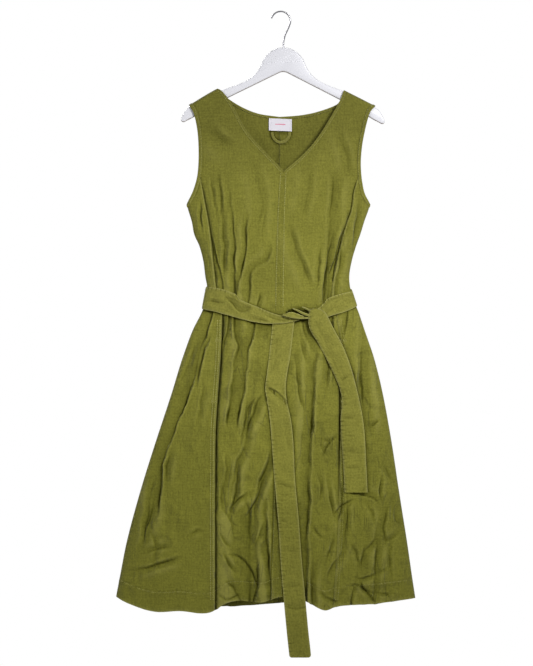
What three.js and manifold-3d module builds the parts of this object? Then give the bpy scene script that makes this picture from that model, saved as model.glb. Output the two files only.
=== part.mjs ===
/*
 * A sleeveless shift dress with a V neck and a tied belt, hanging on a plain wooden hanger.
 *
 * Millimetres, +Z up. The front faces -Y, and left and right are as seen from the front, so left is -X.
 * The origin is the inner top of the hanger's hook, where it rests on a rail.
 *
 * The cloth is two skins, front and back, that meet at the side seams and over the hanger's arms. A point
 * of a skin is named by its height z and by its angle round the body: -90 degrees at the left side seam,
 * 0 in the middle, 90 at the right side seam. Rows of points follow "levels", which run from the hem (-2)
 * over the knee (-1) and the underarm (0) to the shoulder line (1), so that rows fan out to fit both ends.
 */
import * as THREE from 'three';
import Module from 'manifold-3d';
import { mergeVertices } from 'three/addons/utils/BufferGeometryUtils.js';

// Driving dimensions of the cloth
const clothWall = 1.2;          // one layer of the linen
const hemTurn = 40;             // depth of the turned-up hem, which is two layers
const seamGap = 0.3;            // between pieces that are sewn together
const underarmZ = -401;
const kneeZ = -1002;
const shoulderRound = 10;       // radius of the fold of cloth over the hanger's arm
const shoulderBlend = 110;      // below it, the skins ease out to their full depth

// Driving dimensions of the belt and the small pieces
const beltWall = 1.8;           // two layers
const bindingWidth = 7;
const bindingWall = 0.9;
const bindingLift = 0.6;
const neckBandWidth = 5.5;
const labelSize = { width: 48, height: 25.5, wall: 0.8 };
const loopSize = { halfWidth: 22, drop: 27, tape: 6, wall: 1.5 };
const pocketSize = { width: 105, top: -640, bottom: -870, wall: 2.4, hang: 11 };

// Driving dimensions of the hanger
const armThickness = 12;
const armSlope = 0.5;
const armHeight = 22;           // measured straight down, to where the tip's droop starts
const hangerMiddle = 6.2;
const hangerTilt = THREE.MathUtils.degToRad(0.55);
const wire = 1.6;               // radius of the hook's wire
const hookBend = 18.5;          // inner radius of the hook

// The body: where the side edges lie, and how far the front and the back stand out, at each height
const body = [
  { z: -150, left: -206, right: 206, front: 12, back: 12 },
  { z: -300, left: -201, right: 196, front: 21, back: 18 },
  { z: -401, left: -196, right: 186, front: 30, back: 26 },
  { z: -438, left: -186, right: 174, front: 31, back: 27 },
  { z: -464, left: -181, right: 166, front: 31, back: 27 },
  { z: -489, left: -170, right: 157, front: 31, back: 27 },
  { z: -520, left: -162, right: 148, front: 30, back: 26 },
  { z: -551, left: -158, right: 143, front: 29, back: 25 },
  { z: -576, left: -154, right: 145, front: 28, back: 24 },
  { z: -601, left: -157, right: 152, front: 28, back: 24 },
  { z: -626, left: -165, right: 162, front: 29, back: 26 },
  { z: -664, left: -184, right: 175, front: 32, back: 30 },
  { z: -727, left: -207, right: 196, front: 38, back: 36 },
  { z: -802, left: -230, right: 214, front: 43, back: 41 },
  { z: -902, left: -263, right: 232, front: 48, back: 46 },
  { z: -1002, left: -294, right: 247, front: 52, back: 50 },
  { z: -1102, left: -321, right: 263, front: 55, back: 53 },
  { z: -1178, left: -336, right: 274, front: 57, back: 55 },
  { z: -1250, left: -349, right: 285, front: 58, back: 56 },
];

// The line of the shoulder seams, which goes on rising inside the neck, where no cloth reaches it
const shoulderLine = [
  { x: -220, z: -212 }, { x: -191.5, z: -193.9 }, { x: -134, z: -160 },
  { x: 0, z: -95 }, { x: 132, z: -162.7 }, { x: 197, z: -195.9 }, { x: 225, z: -212 },
];

// The lower edge: it dips at the side panels and rises in the middle of the front
const hemLine = {
  front: [
    { x: -350, z: -1216 }, { x: -315, z: -1234 }, { x: -262, z: -1249 }, { x: -210, z: -1247 },
    { x: -150, z: -1250 }, { x: -104, z: -1226 }, { x: -40, z: -1228 }, { x: 0, z: -1217 },
    { x: 50, z: -1226 }, { x: 90, z: -1245 }, { x: 116, z: -1237 }, { x: 196, z: -1232 },
    { x: 290, z: -1222 },
  ],
  back: [
    { x: -350, z: -1216 }, { x: -300, z: -1236 }, { x: -200, z: -1243 }, { x: -104, z: -1245 },
    { x: 0, z: -1238 }, { x: 60, z: -1233 }, { x: 160, z: -1229 }, { x: 290, z: -1222 },
  ],
};

// Seams and cut edges, from the top down
const lines = {
  armholeLeft: [
    { x: -191.5, z: -193.9 }, { x: -181, z: -214 }, { x: -173.5, z: -250 }, { x: -171, z: -295 },
    { x: -173.5, z: -340 }, { x: -182, z: -372 }, { x: -196, z: -401 },
  ],
  armholeRight: [
    { x: 197, z: -195.9 }, { x: 184, z: -214 }, { x: 172, z: -262 }, { x: 167, z: -300 },
    { x: 167, z: -338 }, { x: 173.5, z: -376 }, { x: 186, z: -401 },
  ],
  neckLeft: [
    { x: -134, z: -160 }, { x: -122, z: -167 }, { x: -101, z: -195 }, { x: -66, z: -256 },
    { x: 6, z: -334 },
  ],
  neckRight: [
    { x: 132, z: -162.7 }, { x: 123, z: -186 }, { x: 103, z: -222 }, { x: 77, z: -263 },
    { x: 46, z: -299 }, { x: 6, z: -334 },
  ],
  backNeckLeft: [
    { x: -134, z: -160 }, { x: -109, z: -183 }, { x: -81, z: -200.5 }, { x: -50, z: -213 },
    { x: -19, z: -218.5 }, { x: -3, z: -219.5 },
  ],
  backNeckRight: [
    { x: 132, z: -162.7 }, { x: 123, z: -186 }, { x: 110, z: -196 }, { x: 77, z: -209 },
    { x: 46, z: -216 }, { x: 15, z: -219 }, { x: -3, z: -219.5 },
  ],
  centreFront: [
    { x: 6, z: -334 }, { x: -1, z: -518 }, { x: -3, z: -640 }, { x: -4, z: -1000 }, { x: -10, z: -1260 },
  ],
  centreBack: [{ x: -3, z: -219.5 }, { x: -2, z: -600 }, { x: -6, z: -1260 }],
  sideFrontLeft: [
    { x: -168, z: -344 }, { x: -158, z: -399 }, { x: -148, z: -459 }, { x: -135, z: -574 },
    { x: -123, z: -626 }, { x: -125, z: -716 }, { x: -133, z: -830 }, { x: -136, z: -920 },
    { x: -136, z: -1260 },
  ],
  sideFrontRight: [
    { x: 163, z: -340 }, { x: 152, z: -374 }, { x: 146, z: -415 }, { x: 127, z: -474 },
    { x: 107, z: -574 }, { x: 116, z: -640 }, { x: 125, z: -714 }, { x: 123, z: -852 },
    { x: 119, z: -1061 }, { x: 106, z: -1260 },
  ],
};

// The largest folds: soft troughs, each down a path of places, with its half width and depth
const folds = {
  front: [
    { width: 17, depth: 9, path: [[-143, -640], [-169, -735], [-200, -812], [-242, -918], [-262, -1080]] },
    { width: 15, depth: 6, path: [[-60, -668], [-79, -793], [-73, -896], [-99, -1010], [-104, -1226]] },
    { width: 14, depth: 6, path: [[-24, -690], [-33, -795], [-57, -860], [-51, -998], [-56, -1090]] },
    { width: 17, depth: 9, path: [[88, -690], [63, -841], [56, -969], [53, -1100], [48, -1250]] },
    { width: 14, depth: 6, path: [[170, -720], [178, -860], [200, -1000], [197, -1120], [190, -1250]] },
    { width: 12, depth: 5, path: [[-190, -1010], [-196, -1100], [-186, -1245]] },
    { width: 12, depth: 5, path: [[-104, -350], [-98, -449], [-96, -566]] },
    { width: 12, depth: 4, path: [[-71, -430], [-74, -500], [-88, -568]] },
    { width: 12, depth: 5, path: [[111, -330], [103, -430], [90, -560]] },
    { width: 11, depth: 4, path: [[-164, -395], [-166, -440], [-158, -490]] },
  ],
  back: [
    { width: 16, depth: 8, path: [[-120, -650], [-165, -800], [-205, -950], [-235, -1120]] },
    { width: 15, depth: 8, path: [[-60, -660], [-84, -850], [-96, -1050], [-110, -1245]] },
    { width: 14, depth: 6, path: [[20, -680], [34, -860], [30, -1040], [46, -1240]] },
    { width: 16, depth: 8, path: [[95, -650], [120, -850], [150, -1040], [166, -1235]] },
    { width: 12, depth: 5, path: [[-95, -330], [-90, -440], [-78, -560]] },
    { width: 12, depth: 5, path: [[92, -320], [84, -440], [72, -560]] },
  ],
};
const foldFade = 60;            // a fold comes and goes over this much of its length

// The belt: its upper and lower edges across the front and back, and its lift off the cloth
const beltFrontLeft = [
  { x: -165, top: -575, bottom: -619, lift: 0.9 },
  { x: -94, top: -591, bottom: -636, lift: 0.9 },
  { x: -33, top: -614, bottom: -651, lift: 3.4 },
  { x: 6, top: -630, bottom: -653, lift: 4.2 },
  { x: 40, top: -637, bottom: -646, lift: 4.4 },
];
const beltFrontRight = [
  { x: 59, top: -617, bottom: -640, lift: 4 },
  { x: 98, top: -600, bottom: -634, lift: 2.6 },
  { x: 130, top: -588, bottom: -623, lift: 0.9 },
  { x: 165, top: -581, bottom: -609, lift: 0.9 },
];
const beltBack = [
  { x: -165, top: -575, bottom: -619, lift: 0.9 },
  { x: 0, top: -571, bottom: -616, lift: 0.9 },
  { x: 130, top: -575, bottom: -617, lift: 0.9 },
  { x: 165, top: -581, bottom: -609, lift: 0.9 },
];
const shortTail = [
  { z: -622, left: 58, right: 84, lift: 6.6 }, { z: -641, left: 58, right: 97, lift: 6.6 },
  { z: -660, left: 62, right: 109, lift: 4 }, { z: -693, left: 79, right: 127, lift: 1.8 },
  { z: -739, left: 102, right: 145, lift: 1 }, { z: -783, left: 121, right: 157, lift: 1 },
  { z: -814, left: 127, right: 164, lift: 1 }, { z: -846, left: 124, right: 170, lift: 1 },
  { z: -881, left: 125, right: 174, lift: 1 }, { z: -940, left: 129, right: 177, lift: 1 },
  { z: -1001, left: 132, right: 180, lift: 1 },
];
const longTail = [
  { z: -646, left: -17, right: 28, lift: 0.9 }, { z: -720, left: -25, right: 19, lift: 0.9 },
  { z: -760, left: -30, right: 12, lift: 1 }, { z: -785, left: -33, right: 10, lift: 1 },
  { z: -810, left: -29, right: 12, lift: 1 }, { z: -852, left: -23, right: 21, lift: 1 },
  { z: -900, left: -19, right: 26, lift: 1 }, { z: -970, left: -14, right: 29, lift: 1 },
  { z: -1059, left: -6, right: 37, lift: 1 }, { z: -1140, left: -1, right: 43, lift: 1 },
  { z: -1215, left: 5, right: 50, lift: 1 }, { z: -1290, left: 12, right: 57, lift: 1 },
  { z: -1336, left: 17, right: 62, lift: 1 }, { z: -1340, left: 18, right: 61, lift: 1 },
  { z: -1342, left: 21, right: 58, lift: 1 },
];
const knot = { left: 5, right: 56.5, z: -630, height: 23, thickness: 12, lift: 6 };

// Materials, one look for each kind of surface
const looks = {
  linen: { color: 0x6e6c30, roughness: 0.85, metalness: 0 },
  label: { color: 0xf1ecf4, roughness: 0.6, metalness: 0 },
  paint: { color: 0xf2f1f6, roughness: 0.35, metalness: 0 },
  steel: { color: 0xc9c9cf, roughness: 0.25, metalness: 1 },
};

// ---------------------------------------------------------------- small mathematics

const clamp = (value, low, high) => Math.min(high, Math.max(low, value));
const mix = (a, b, share) => a + (b - a) * share;
const ease = (share) => THREE.MathUtils.smoothstep(share, 0, 1);
const steps = (count) => Array.from({ length: count + 1 }, (_, i) => i / count);

// Reads a column of a table between its rows, on a smooth curve through them
function read(rows, key, at, column) {
  const sign = Math.sign(rows[1][key] - rows[0][key]);
  const last = rows.length - 2;
  let i = 0;
  while (i < last && sign * at > sign * rows[i + 1][key]) i += 1;
  const slope = (a, b) => (rows[b][column] - rows[a][column]) / (rows[b][key] - rows[a][key]);
  const span = rows[i + 1][key] - rows[i][key];
  const share = clamp((at - rows[i][key]) / span, 0, 1);
  const startSlope = slope(Math.max(i - 1, 0), i + 1) * span;
  const endSlope = slope(i, Math.min(i + 2, last + 1)) * span;
  const s2 = share * share;
  const s3 = s2 * share;
  return (2 * s3 - 3 * s2 + 1) * rows[i][column] + (s3 - 2 * s2 + share) * startSlope
    + (3 * s2 - 2 * s3) * rows[i + 1][column] + (s3 - s2) * endSlope;
}

// ---------------------------------------------------------------- the skins of cloth

function section(z) {
  const left = read(body, 'z', z, 'left');
  const right = read(body, 'z', z, 'right');
  return { middle: (left + right) / 2, half: (right - left) / 2 };
}

function angleAt(x, z) {
  const { middle, half } = section(z);
  return Math.asin(clamp((x - middle) / half, -1, 1));
}

const foldTables = Object.fromEntries(Object.entries(folds).map(([side, list]) => [
  side, list.map((fold) => ({ ...fold, path: fold.path.map(([x, z]) => ({ x, z })) })),
]));

function foldDepth(side, x, z) {
  let depth = 0;
  for (const { path, width, depth: full } of foldTables[side]) {
    const top = path[0].z;
    const end = path[path.length - 1].z;
    const reachesHem = end < -1200;
    const along = Math.min(top - z, reachesHem ? foldFade : z - end) / foldFade;
    const across = (x - read(path, 'z', clamp(z, end, top), 'x')) / width;
    depth += full * ease(clamp(along, 0, 1)) * Math.exp(-across * across);
  }
  return depth;
}

// The outer face of a skin. The front and the back stay a seam's gap apart where they meet.
function skin(side, angle, z, withFolds = true) {
  const { middle, half } = section(z);
  const x = middle + half * Math.sin(angle);
  const below = read(shoulderLine, 'x', x, 'z') - z;
  const turn = clamp(1 - below / shoulderRound, 0, 1);
  const overArm = shoulderRound * Math.sqrt(1 - turn * turn);
  const fold = withFolds ? foldDepth(side, x, z) * clamp(2 * Math.cos(angle), 0, 1) : 0;
  const full = read(body, 'z', z, side) * Math.cos(angle) - fold;
  const out = mix(overArm, full, ease(clamp((below - shoulderRound) / shoulderBlend, 0, 1)));
  const away = side === 'front' ? -1 : 1;
  return new THREE.Vector3(x, away * (seamGap / 2 + out), z);
}

function outward(side, angle, z, withFolds = true) {
  const turn = 0.0002;
  const step = 0.02;
  z = Math.min(z, read(shoulderLine, 'x', skin(side, angle, z).x, 'z') - step);
  const round = skin(side, angle + turn, z, withFolds).sub(skin(side, angle - turn, z, withFolds));
  const rise = skin(side, angle, z + step, withFolds).sub(skin(side, angle, z - 3 * step, withFolds));
  const normal = round.cross(rise).normalize();
  return side === 'front' ? normal : normal.negate();
}

function onSkin(side, angle, z, lift, withFolds = true) {
  return skin(side, angle, z, withFolds).addScaledVector(outward(side, angle, z, withFolds), lift);
}

// ---------------------------------------------------------------- levels, and lines across them

function heightOf(level, x, side) {
  if (level >= 0) return mix(underarmZ, read(shoulderLine, 'x', x, 'z'), level);
  if (level >= -1) return mix(underarmZ, kneeZ, -level);
  return mix(kneeZ, read(hemLine[side], 'x', x, 'z'), -1 - level);
}

function levelOf(x, z, side) {
  if (z >= underarmZ) return (z - underarmZ) / (read(shoulderLine, 'x', x, 'z') - underarmZ);
  if (z >= kneeZ) return (z - underarmZ) / (underarmZ - kneeZ);
  return -1 - (kneeZ - z) / (kneeZ - read(hemLine[side], 'x', x, 'z'));
}

function heightAtAngle(level, angle, side) {
  let z = heightOf(level, 0, side);
  for (let pass = 0; pass < 6; pass += 1) z = heightOf(level, skin(side, angle, z).x, side);
  return z;
}

const curve = (line) => new THREE.SplineCurve(line.map(({ x, z }) => new THREE.Vector2(x, z)));

// The angle at which a line, drawn from the top down, crosses a level
function crossing(line, level, side) {
  let high = 0;
  let low = 1;
  for (let i = 0; i < 30; i += 1) {
    const middle = (high + low) / 2;
    const point = line.getPoint(middle);
    if (levelOf(point.x, point.y, side) > level) high = middle;
    else low = middle;
  }
  const point = line.getPoint(low);
  return angleAt(point.x, point.y);
}

const leftEdge = () => -Math.PI / 2;
const rightEdge = () => Math.PI / 2;

// One boundary of a panel, from the top down: each line takes over at the level where it starts
function boundary(side, ...names) {
  const parts = names.map((name) => {
    if (name === 'leftEdge') return { highest: 0, angle: leftEdge };
    if (name === 'rightEdge') return { highest: 0, angle: rightEdge };
    const [start] = lines[name];
    const path = curve(lines[name]);
    return { highest: levelOf(start.x, start.z, side), angle: (level) => crossing(path, level, side) };
  });
  return (level) => (parts.findLast(({ highest }) => level <= highest + 1e-6) ?? parts[0]).angle(level);
}

// ---------------------------------------------------------------- closed walls

// Joins rows of outer and inner points into one closed wall; a loop joins its last row to its first
function closedWall(rows, loop = false) {
  const columns = rows[0].outer.length;
  const positions = [];
  for (const { outer, inner } of rows) {
    for (const point of [...outer, ...inner]) positions.push(point.x, point.y, point.z);
  }
  const outerAt = (i, j) => (i % rows.length) * 2 * columns + j;
  const innerAt = (i, j) => outerAt(i, j) + columns;
  const index = [];
  const quad = (a, b, c, d) => index.push(a, b, c, a, c, d);
  const spans = loop ? rows.length : rows.length - 1;
  for (let i = 0; i < spans; i += 1) {
    for (let j = 0; j < columns - 1; j += 1) {
      quad(outerAt(i, j), outerAt(i, j + 1), outerAt(i + 1, j + 1), outerAt(i + 1, j));
      quad(innerAt(i, j), innerAt(i + 1, j), innerAt(i + 1, j + 1), innerAt(i, j + 1));
    }
    quad(outerAt(i, 0), outerAt(i + 1, 0), innerAt(i + 1, 0), innerAt(i, 0));
    quad(outerAt(i, columns - 1), innerAt(i, columns - 1), innerAt(i + 1, columns - 1), outerAt(i + 1, columns - 1));
  }
  if (!loop) {
    const end = rows.length - 1;
    for (let j = 0; j < columns - 1; j += 1) {
      quad(outerAt(0, j), innerAt(0, j), innerAt(0, j + 1), outerAt(0, j + 1));
      quad(outerAt(end, j), outerAt(end, j + 1), innerAt(end, j + 1), innerAt(end, j));
    }
  }
  const geometry = new THREE.BufferGeometry();
  geometry.setAttribute('position', new THREE.Float32BufferAttribute(positions, 3));
  geometry.setIndex(volumeOf(positions, index) > 0 ? index : index.reverse());
  geometry.computeVertexNormals();
  return geometry;
}

function volumeOf(positions, index) {
  const corner = (i) => new THREE.Vector3().fromArray(positions, 3 * index[i]);
  let volume = 0;
  for (let i = 0; i < index.length; i += 3) {
    volume += corner(i).dot(corner(i + 1).cross(corner(i + 2))) / 6;
  }
  return volume;
}

// ---------------------------------------------------------------- pieces of the dress

const hemTurnLevel = levelOf(0, read(hemLine.front, 'x', 0, 'z') + hemTurn, 'front');
const hemLevels = [-2, hemTurnLevel - 0.015, hemTurnLevel + 0.015, -1.55, -1.27];
const bodyHeights = [
  -1002, -930, -860, -790, -730, -680, -645, -620, -600, -580, -555, -525, -490, -460, -432, -412, -401,
];
const bodyLevels = bodyHeights.map((z) => levelOf(0, z, 'front'));
const upperLevels = [0.07, 0.14, 0.219, 0.255, 0.3, 0.38, 0.46, 0.54, 0.595, 0.63, 0.68, 0.75, 0.82, 0.88, 0.93];
const armLevels = [0.959, 0.975, 0.988, 0.9968, 1];
const allLevels = [...hemLevels, ...bodyLevels, ...upperLevels, ...armLevels];

// Half a seam's gap, as an angle. The side seams keep theirs between the front and the back.
function sewnBack(angle, level) {
  const across = section(heightOf(level, 0, 'front')).half * Math.cos(angle);
  return across > 1 ? seamGap / 2 / across : 0;
}

function panel({ side, left, right, columns, top = 1 }) {
  const rows = allLevels.filter((level) => level <= top).map((level) => {
    const turnedUp = level < hemTurnLevel;
    const outer = [];
    const inner = [];
    const from = left(level);
    const to = right(level);
    for (const share of steps(columns)) {
      const angle = mix(from + sewnBack(from, level), to - sewnBack(to, level), share);
      const z = heightAtAngle(level, angle, side);
      outer.push(skin(side, angle, z));
      inner.push(onSkin(side, angle, z, turnedUp ? -2 * clothWall : -clothWall));
    }
    return { outer, inner };
  });
  return closedWall(rows);
}

// A flat strip along a cut edge. Each station names a place on the edge, and the strip reaches from there
// into the cloth, to the left of its run (turn 1) or to the right (turn -1). A middle station lies between
// the front and the back: at the underarm, or on top of the shoulder.
function edgeStrip(stations, { width, turn, inside = false, loop = false }) {
  const near = inside ? -clothWall - bindingLift : bindingLift;
  const lifts = [near, near + bindingWall * Math.sign(near)];
  const places = stations.map(({ side, angle, z }) => skin(side, angle, z));
  const rows = stations.map(({ side, angle, z, middle }, i) => {
    const count = stations.length;
    const next = loop ? (i + 1) % count : Math.min(i + 1, count - 1);
    const last = loop ? (i + count - 1) % count : Math.max(i - 1, 0);
    const along = places[next].clone().sub(places[last]).normalize();
    const across = outward(side, angle, z).cross(along).normalize().multiplyScalar(width * turn);
    const farX = places[i].x + across.x;
    const farZ = Math.min(places[i].z + across.z, read(shoulderLine, 'x', farX, 'z'));
    const [outer, inner] = lifts.map((lift) => [
      onSkin(side, angle, z, lift), onSkin(side, angleAt(farX, farZ), farZ, lift),
    ]);
    if (middle) for (const point of [...outer, ...inner]) point.y = 0;
    return { outer, inner };
  });
  return closedWall(rows, loop);
}

function edgeStations(name, side, levels) {
  const path = curve(lines[name]);
  return levels.map((level) => {
    const angle = crossing(path, level, side);
    return { side, angle, z: heightAtAngle(level, angle, side), middle: level === 1 };
  });
}

function armholeBinding(name, sideAngle, turn) {
  const levels = [0.008, 0.022, 0.042, ...upperLevels, ...armLevels.slice(0, -1)];
  const underarm = { side: 'front', angle: sideAngle, z: underarmZ, middle: true };
  return edgeStrip([
    underarm, ...edgeStations(name, 'front', [...levels, 1]), ...edgeStations(name, 'back', levels).reverse(),
  ], { width: bindingWidth, turn, loop: true });
}

function frontNeckBand(name, turn) {
  const levels = [0.222, ...upperLevels.filter((level) => level > 0.25), ...armLevels.slice(0, -1)];
  return edgeStrip(edgeStations(name, 'front', levels), { width: neckBandWidth, turn });
}

function backNeckBand() {
  const levels = [0.6, ...upperLevels.filter((level) => level > 0.61), ...armLevels.slice(0, 1)];
  const left = edgeStations('backNeckLeft', 'back', levels);
  const right = edgeStations('backNeckRight', 'back', levels);
  return edgeStrip([...left.reverse(), ...right], { width: neckBandWidth, turn: 1, inside: true });
}

function beltStretch(side, table, from, to, count) {
  const middleZ = -600;
  const rows = steps(count).map((share) => {
    const angle = mix(from, to, share);
    const x = skin(side, angle, middleZ, false).x;
    const top = read(table, 'x', x, 'top');
    const bottom = read(table, 'x', x, 'bottom');
    const lift = read(table, 'x', x, 'lift');
    const heights = steps(3).map((part) => mix(bottom, top, part));
    const inner = heights.map((z) => onSkin(side, angle, z, lift, false));
    const outer = heights.map((z) => onSkin(side, angle, z, lift + beltWall, false));
    return { outer, inner };
  });
  return closedWall(rows);
}

function beltTail(table) {
  const rows = table.map(({ z, left, right, lift }) => {
    // Below the hem the tail hangs on straight down
    const lowest = Math.max(z, -1200);
    const place = (x, out) => onSkin('front', angleAt(x, lowest), lowest, out, false).setZ(z).setX(x);
    const across = steps(3).map((share) => mix(left, right, share));
    return {
      outer: across.map((x) => place(x, lift + beltWall)),
      inner: across.map((x) => place(x, lift)),
    };
  });
  return closedWall(rows);
}

function beltKnot() {
  const rows = steps(8).map((share) => {
    const x = mix(knot.left, knot.right, share);
    const fat = Math.sqrt(Math.max(0, 1 - (2 * share - 1) ** 4)) * 0.85 + 0.15;
    const height = knot.height * fat / 2;
    const z = knot.z - 3 * (2 * share - 1) ** 2;
    const back = onSkin('front', angleAt(x, -650), -650, knot.lift, false).y;
    const ring = steps(6).map((part) => {
      const turn = Math.PI * (part - 0.5);
      return { across: Math.sin(turn), bulge: Math.cos(turn) };
    });
    return {
      outer: ring.map(({ across, bulge }) => (
        new THREE.Vector3(x, back - 1 - (knot.thickness - 1) * fat * bulge, z + height * across))),
      inner: ring.map(({ across }) => new THREE.Vector3(x, back, z + height * across)),
    };
  });
  return closedWall(rows);
}

function neckLabel() {
  const middle = { x: -1, z: -236.5 };
  const tilt = -0.04;
  const rows = steps(2).map((up) => {
    const place = (share, depth) => {
      const x = middle.x + (share - 0.5) * labelSize.width;
      const z = middle.z + (up - 0.5) * labelSize.height + tilt * (x - middle.x);
      return onSkin('back', angleAt(x, z), z, -clothWall - depth, false);
    };
    const near = bindingLift + bindingWall + seamGap;
    return {
      outer: steps(6).map((share) => place(share, near)),
      inner: steps(6).map((share) => place(share, near + labelSize.wall)),
    };
  });
  return closedWall(rows);
}

function hangingLoop() {
  const middle = { x: 0, z: -251.5 };
  const rows = steps(14).map((share) => {
    const turn = Math.PI * (1 + share);
    const place = (radius, depth) => {
      const x = middle.x + (loopSize.halfWidth + radius) * Math.cos(turn);
      const z = middle.z + (loopSize.drop + radius) * Math.sin(turn);
      return onSkin('back', angleAt(x, z), z, -clothWall - depth, false);
    };
    const tape = [-loopSize.tape / 2, loopSize.tape / 2];
    return {
      outer: tape.map((radius) => place(radius, 0.6)),
      inner: tape.map((radius) => place(radius, 0.6 + loopSize.wall)),
    };
  });
  return closedWall(rows);
}

// A pocket bag is sewn into the side-front seam and hangs free inside the skirt, its two layers together
function pocketBag(seamName, direction) {
  const path = curve(lines[seamName]);
  const heights = steps(8).map((share) => mix(pocketSize.bottom, pocketSize.top, share));
  const rows = heights.map((z) => {
    const seamX = skin('front', crossing(path, levelOf(0, z, 'front'), 'front'), z, false).x;
    const share = (pocketSize.top - z) / (pocketSize.top - pocketSize.bottom);
    const reach = pocketSize.width * (0.7 + 0.3 * Math.sin(Math.PI * clamp(share, 0, 0.85)));
    const place = (part, depth) => {
      const x = seamX + direction * mix(3, reach, part);
      const drop = depth + pocketSize.hang * ease(clamp(part * 2.4, 0, 1));
      return onSkin('front', angleAt(x, z), z, -clothWall - drop, part === 0);
    };
    return {
      outer: steps(6).map((part) => place(part, 0.5)),
      inner: steps(6).map((part) => place(part, 0.5 + pocketSize.wall)),
    };
  });
  return closedWall(rows);
}

// ---------------------------------------------------------------- the hanger

function hangerOutline() {
  const boss = new THREE.SplineCurve([
    [0, -74], [14, -76], [30, -85], [42, -99], [48, -113], [60, -131], [85, -148], [127, -163.8],
  ].map(([x, z]) => new THREE.Vector2(x, z))).getPoints(36);
  const armTop = (x) => -163.8 - armSlope * (x - 127);
  const tip = new THREE.SplineCurve([
    [170, armTop(170)], [186, armTop(186)], [199, -202], [207.5, -213.5], [212, -224], [212, -229],
    [207.5, -231.5], [199, -227.5], [182, -218.5], [150, armTop(150) - armHeight],
  ].map(([x, z]) => new THREE.Vector2(x, z))).getPoints(36);
  const slant = Math.atan(armSlope);
  const underside = steps(4).map((share) => {
    const turn = Math.PI / 2 - slant * (1 - share);
    return new THREE.Vector2(20 * Math.cos(turn), armTop(0) - armHeight - 20 / Math.cos(slant) + 20 * Math.sin(turn));
  });
  const right = [...boss, ...tip, ...underside];
  const left = right.slice(1, -1).reverse().map((point) => new THREE.Vector2(-point.x, point.y));
  return new THREE.Shape([...right, ...left]);
}

async function solids() {
  const wasm = await Module();
  wasm.setup();
  const toSolid = (geometry) => {
    const plain = geometry.clone();
    plain.deleteAttribute('normal');
    plain.deleteAttribute('uv');
    const merged = mergeVertices(plain, 1e-3);
    return new wasm.Manifold(new wasm.Mesh({
      numProp: 3,
      vertProperties: new Float32Array(merged.attributes.position.array),
      triVerts: new Uint32Array(merged.index.array),
    }));
  };
  const toGeometry = (solid) => {
    const mesh = solid.getMesh();
    const geometry = new THREE.BufferGeometry();
    geometry.setAttribute('position', new THREE.BufferAttribute(mesh.vertProperties, 3));
    geometry.setIndex(new THREE.BufferAttribute(mesh.triVerts, 1));
    geometry.computeVertexNormals();
    return geometry;
  };
  return { toSolid, toGeometry };
}

function hangerBody({ toSolid, toGeometry }) {
  const edge = 3;
  const arms = new THREE.ExtrudeGeometry(hangerOutline(), {
    depth: armThickness - 2 * edge, bevelThickness: edge, bevelSize: edge, bevelOffset: -edge, bevelSegments: 3,
  });
  arms.translate(0, 0, -armThickness / 2 + edge);
  arms.rotateX(Math.PI / 2);
  const bore = new THREE.CylinderGeometry(wire + seamGap, wire + seamGap, 30, 16);
  bore.rotateX(Math.PI / 2);
  bore.translate(0, 0, -74);
  return toGeometry(toSolid(arms).subtract(toSolid(bore)));
}

function hook() {
  const bendX = -hangerMiddle;
  const radius = hookBend + wire;
  const bend = steps(14).map((share) => {
    const turn = THREE.MathUtils.degToRad(mix(-15, 165, share));
    return new THREE.Vector3(bendX + radius * Math.cos(turn), 0, -hookBend + radius * Math.sin(turn));
  });
  const path = new THREE.CatmullRomCurve3([
    new THREE.Vector3(0, 0, -86), new THREE.Vector3(0, 0, -74), new THREE.Vector3(0, 0, -62),
    new THREE.Vector3(3.5, 0, -47), new THREE.Vector3(9.5, 0, -34), ...bend,
  ]);
  const round = new THREE.Shape().absarc(0, 0, wire, 0, 2 * Math.PI);
  return new THREE.ExtrudeGeometry(round, { steps: 60, extrudePath: path, bevelEnabled: false, curveSegments: 5 });
}

// ---------------------------------------------------------------- the dress on its hanger

const dress = new THREE.Group();

function add(group, name, geometry, look) {
  const mesh = new THREE.Mesh(geometry, new THREE.MeshStandardMaterial(looks[look]));
  mesh.name = name;
  group.add(mesh);
}

const panels = {
  front_left: {
    side: 'front', columns: 8, left: ['armholeLeft', 'sideFrontLeft'], right: ['neckLeft', 'centreFront'],
  },
  front_right: {
    side: 'front', columns: 8, left: ['neckRight', 'centreFront'], right: ['armholeRight', 'sideFrontRight'],
  },
  side_front_left: {
    side: 'front', columns: 5, left: ['armholeLeft', 'leftEdge'], right: ['sideFrontLeft'], top: 0.255,
  },
  side_front_right: {
    side: 'front', columns: 5, left: ['sideFrontRight'], right: ['armholeRight', 'rightEdge'], top: 0.255,
  },
  back_left: {
    side: 'back', columns: 9, left: ['armholeLeft', 'leftEdge'], right: ['backNeckLeft', 'centreBack'],
  },
  back_right: {
    side: 'back', columns: 9, left: ['backNeckRight', 'centreBack'], right: ['armholeRight', 'rightEdge'],
  },
};
for (const [name, { side, columns, left, right, top }] of Object.entries(panels)) {
  const shape = panel({ side, columns, left: boundary(side, ...left), right: boundary(side, ...right), top });
  add(dress, name, shape, 'linen');
}

add(dress, 'armhole_binding_left', armholeBinding('armholeLeft', -Math.PI / 2, -1), 'linen');
add(dress, 'armhole_binding_right', armholeBinding('armholeRight', Math.PI / 2, 1), 'linen');
add(dress, 'neck_band_front_left', frontNeckBand('neckLeft', 1), 'linen');
add(dress, 'neck_band_front_right', frontNeckBand('neckRight', -1), 'linen');
add(dress, 'neck_band_back', backNeckBand(), 'linen');
add(dress, 'neck_label', neckLabel(), 'label');
add(dress, 'hanging_loop', hangingLoop(), 'linen');
add(dress, 'pocket_bag_left', pocketBag('sideFrontLeft', 1), 'linen');
add(dress, 'pocket_bag_right', pocketBag('sideFrontRight', -1), 'linen');

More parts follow.
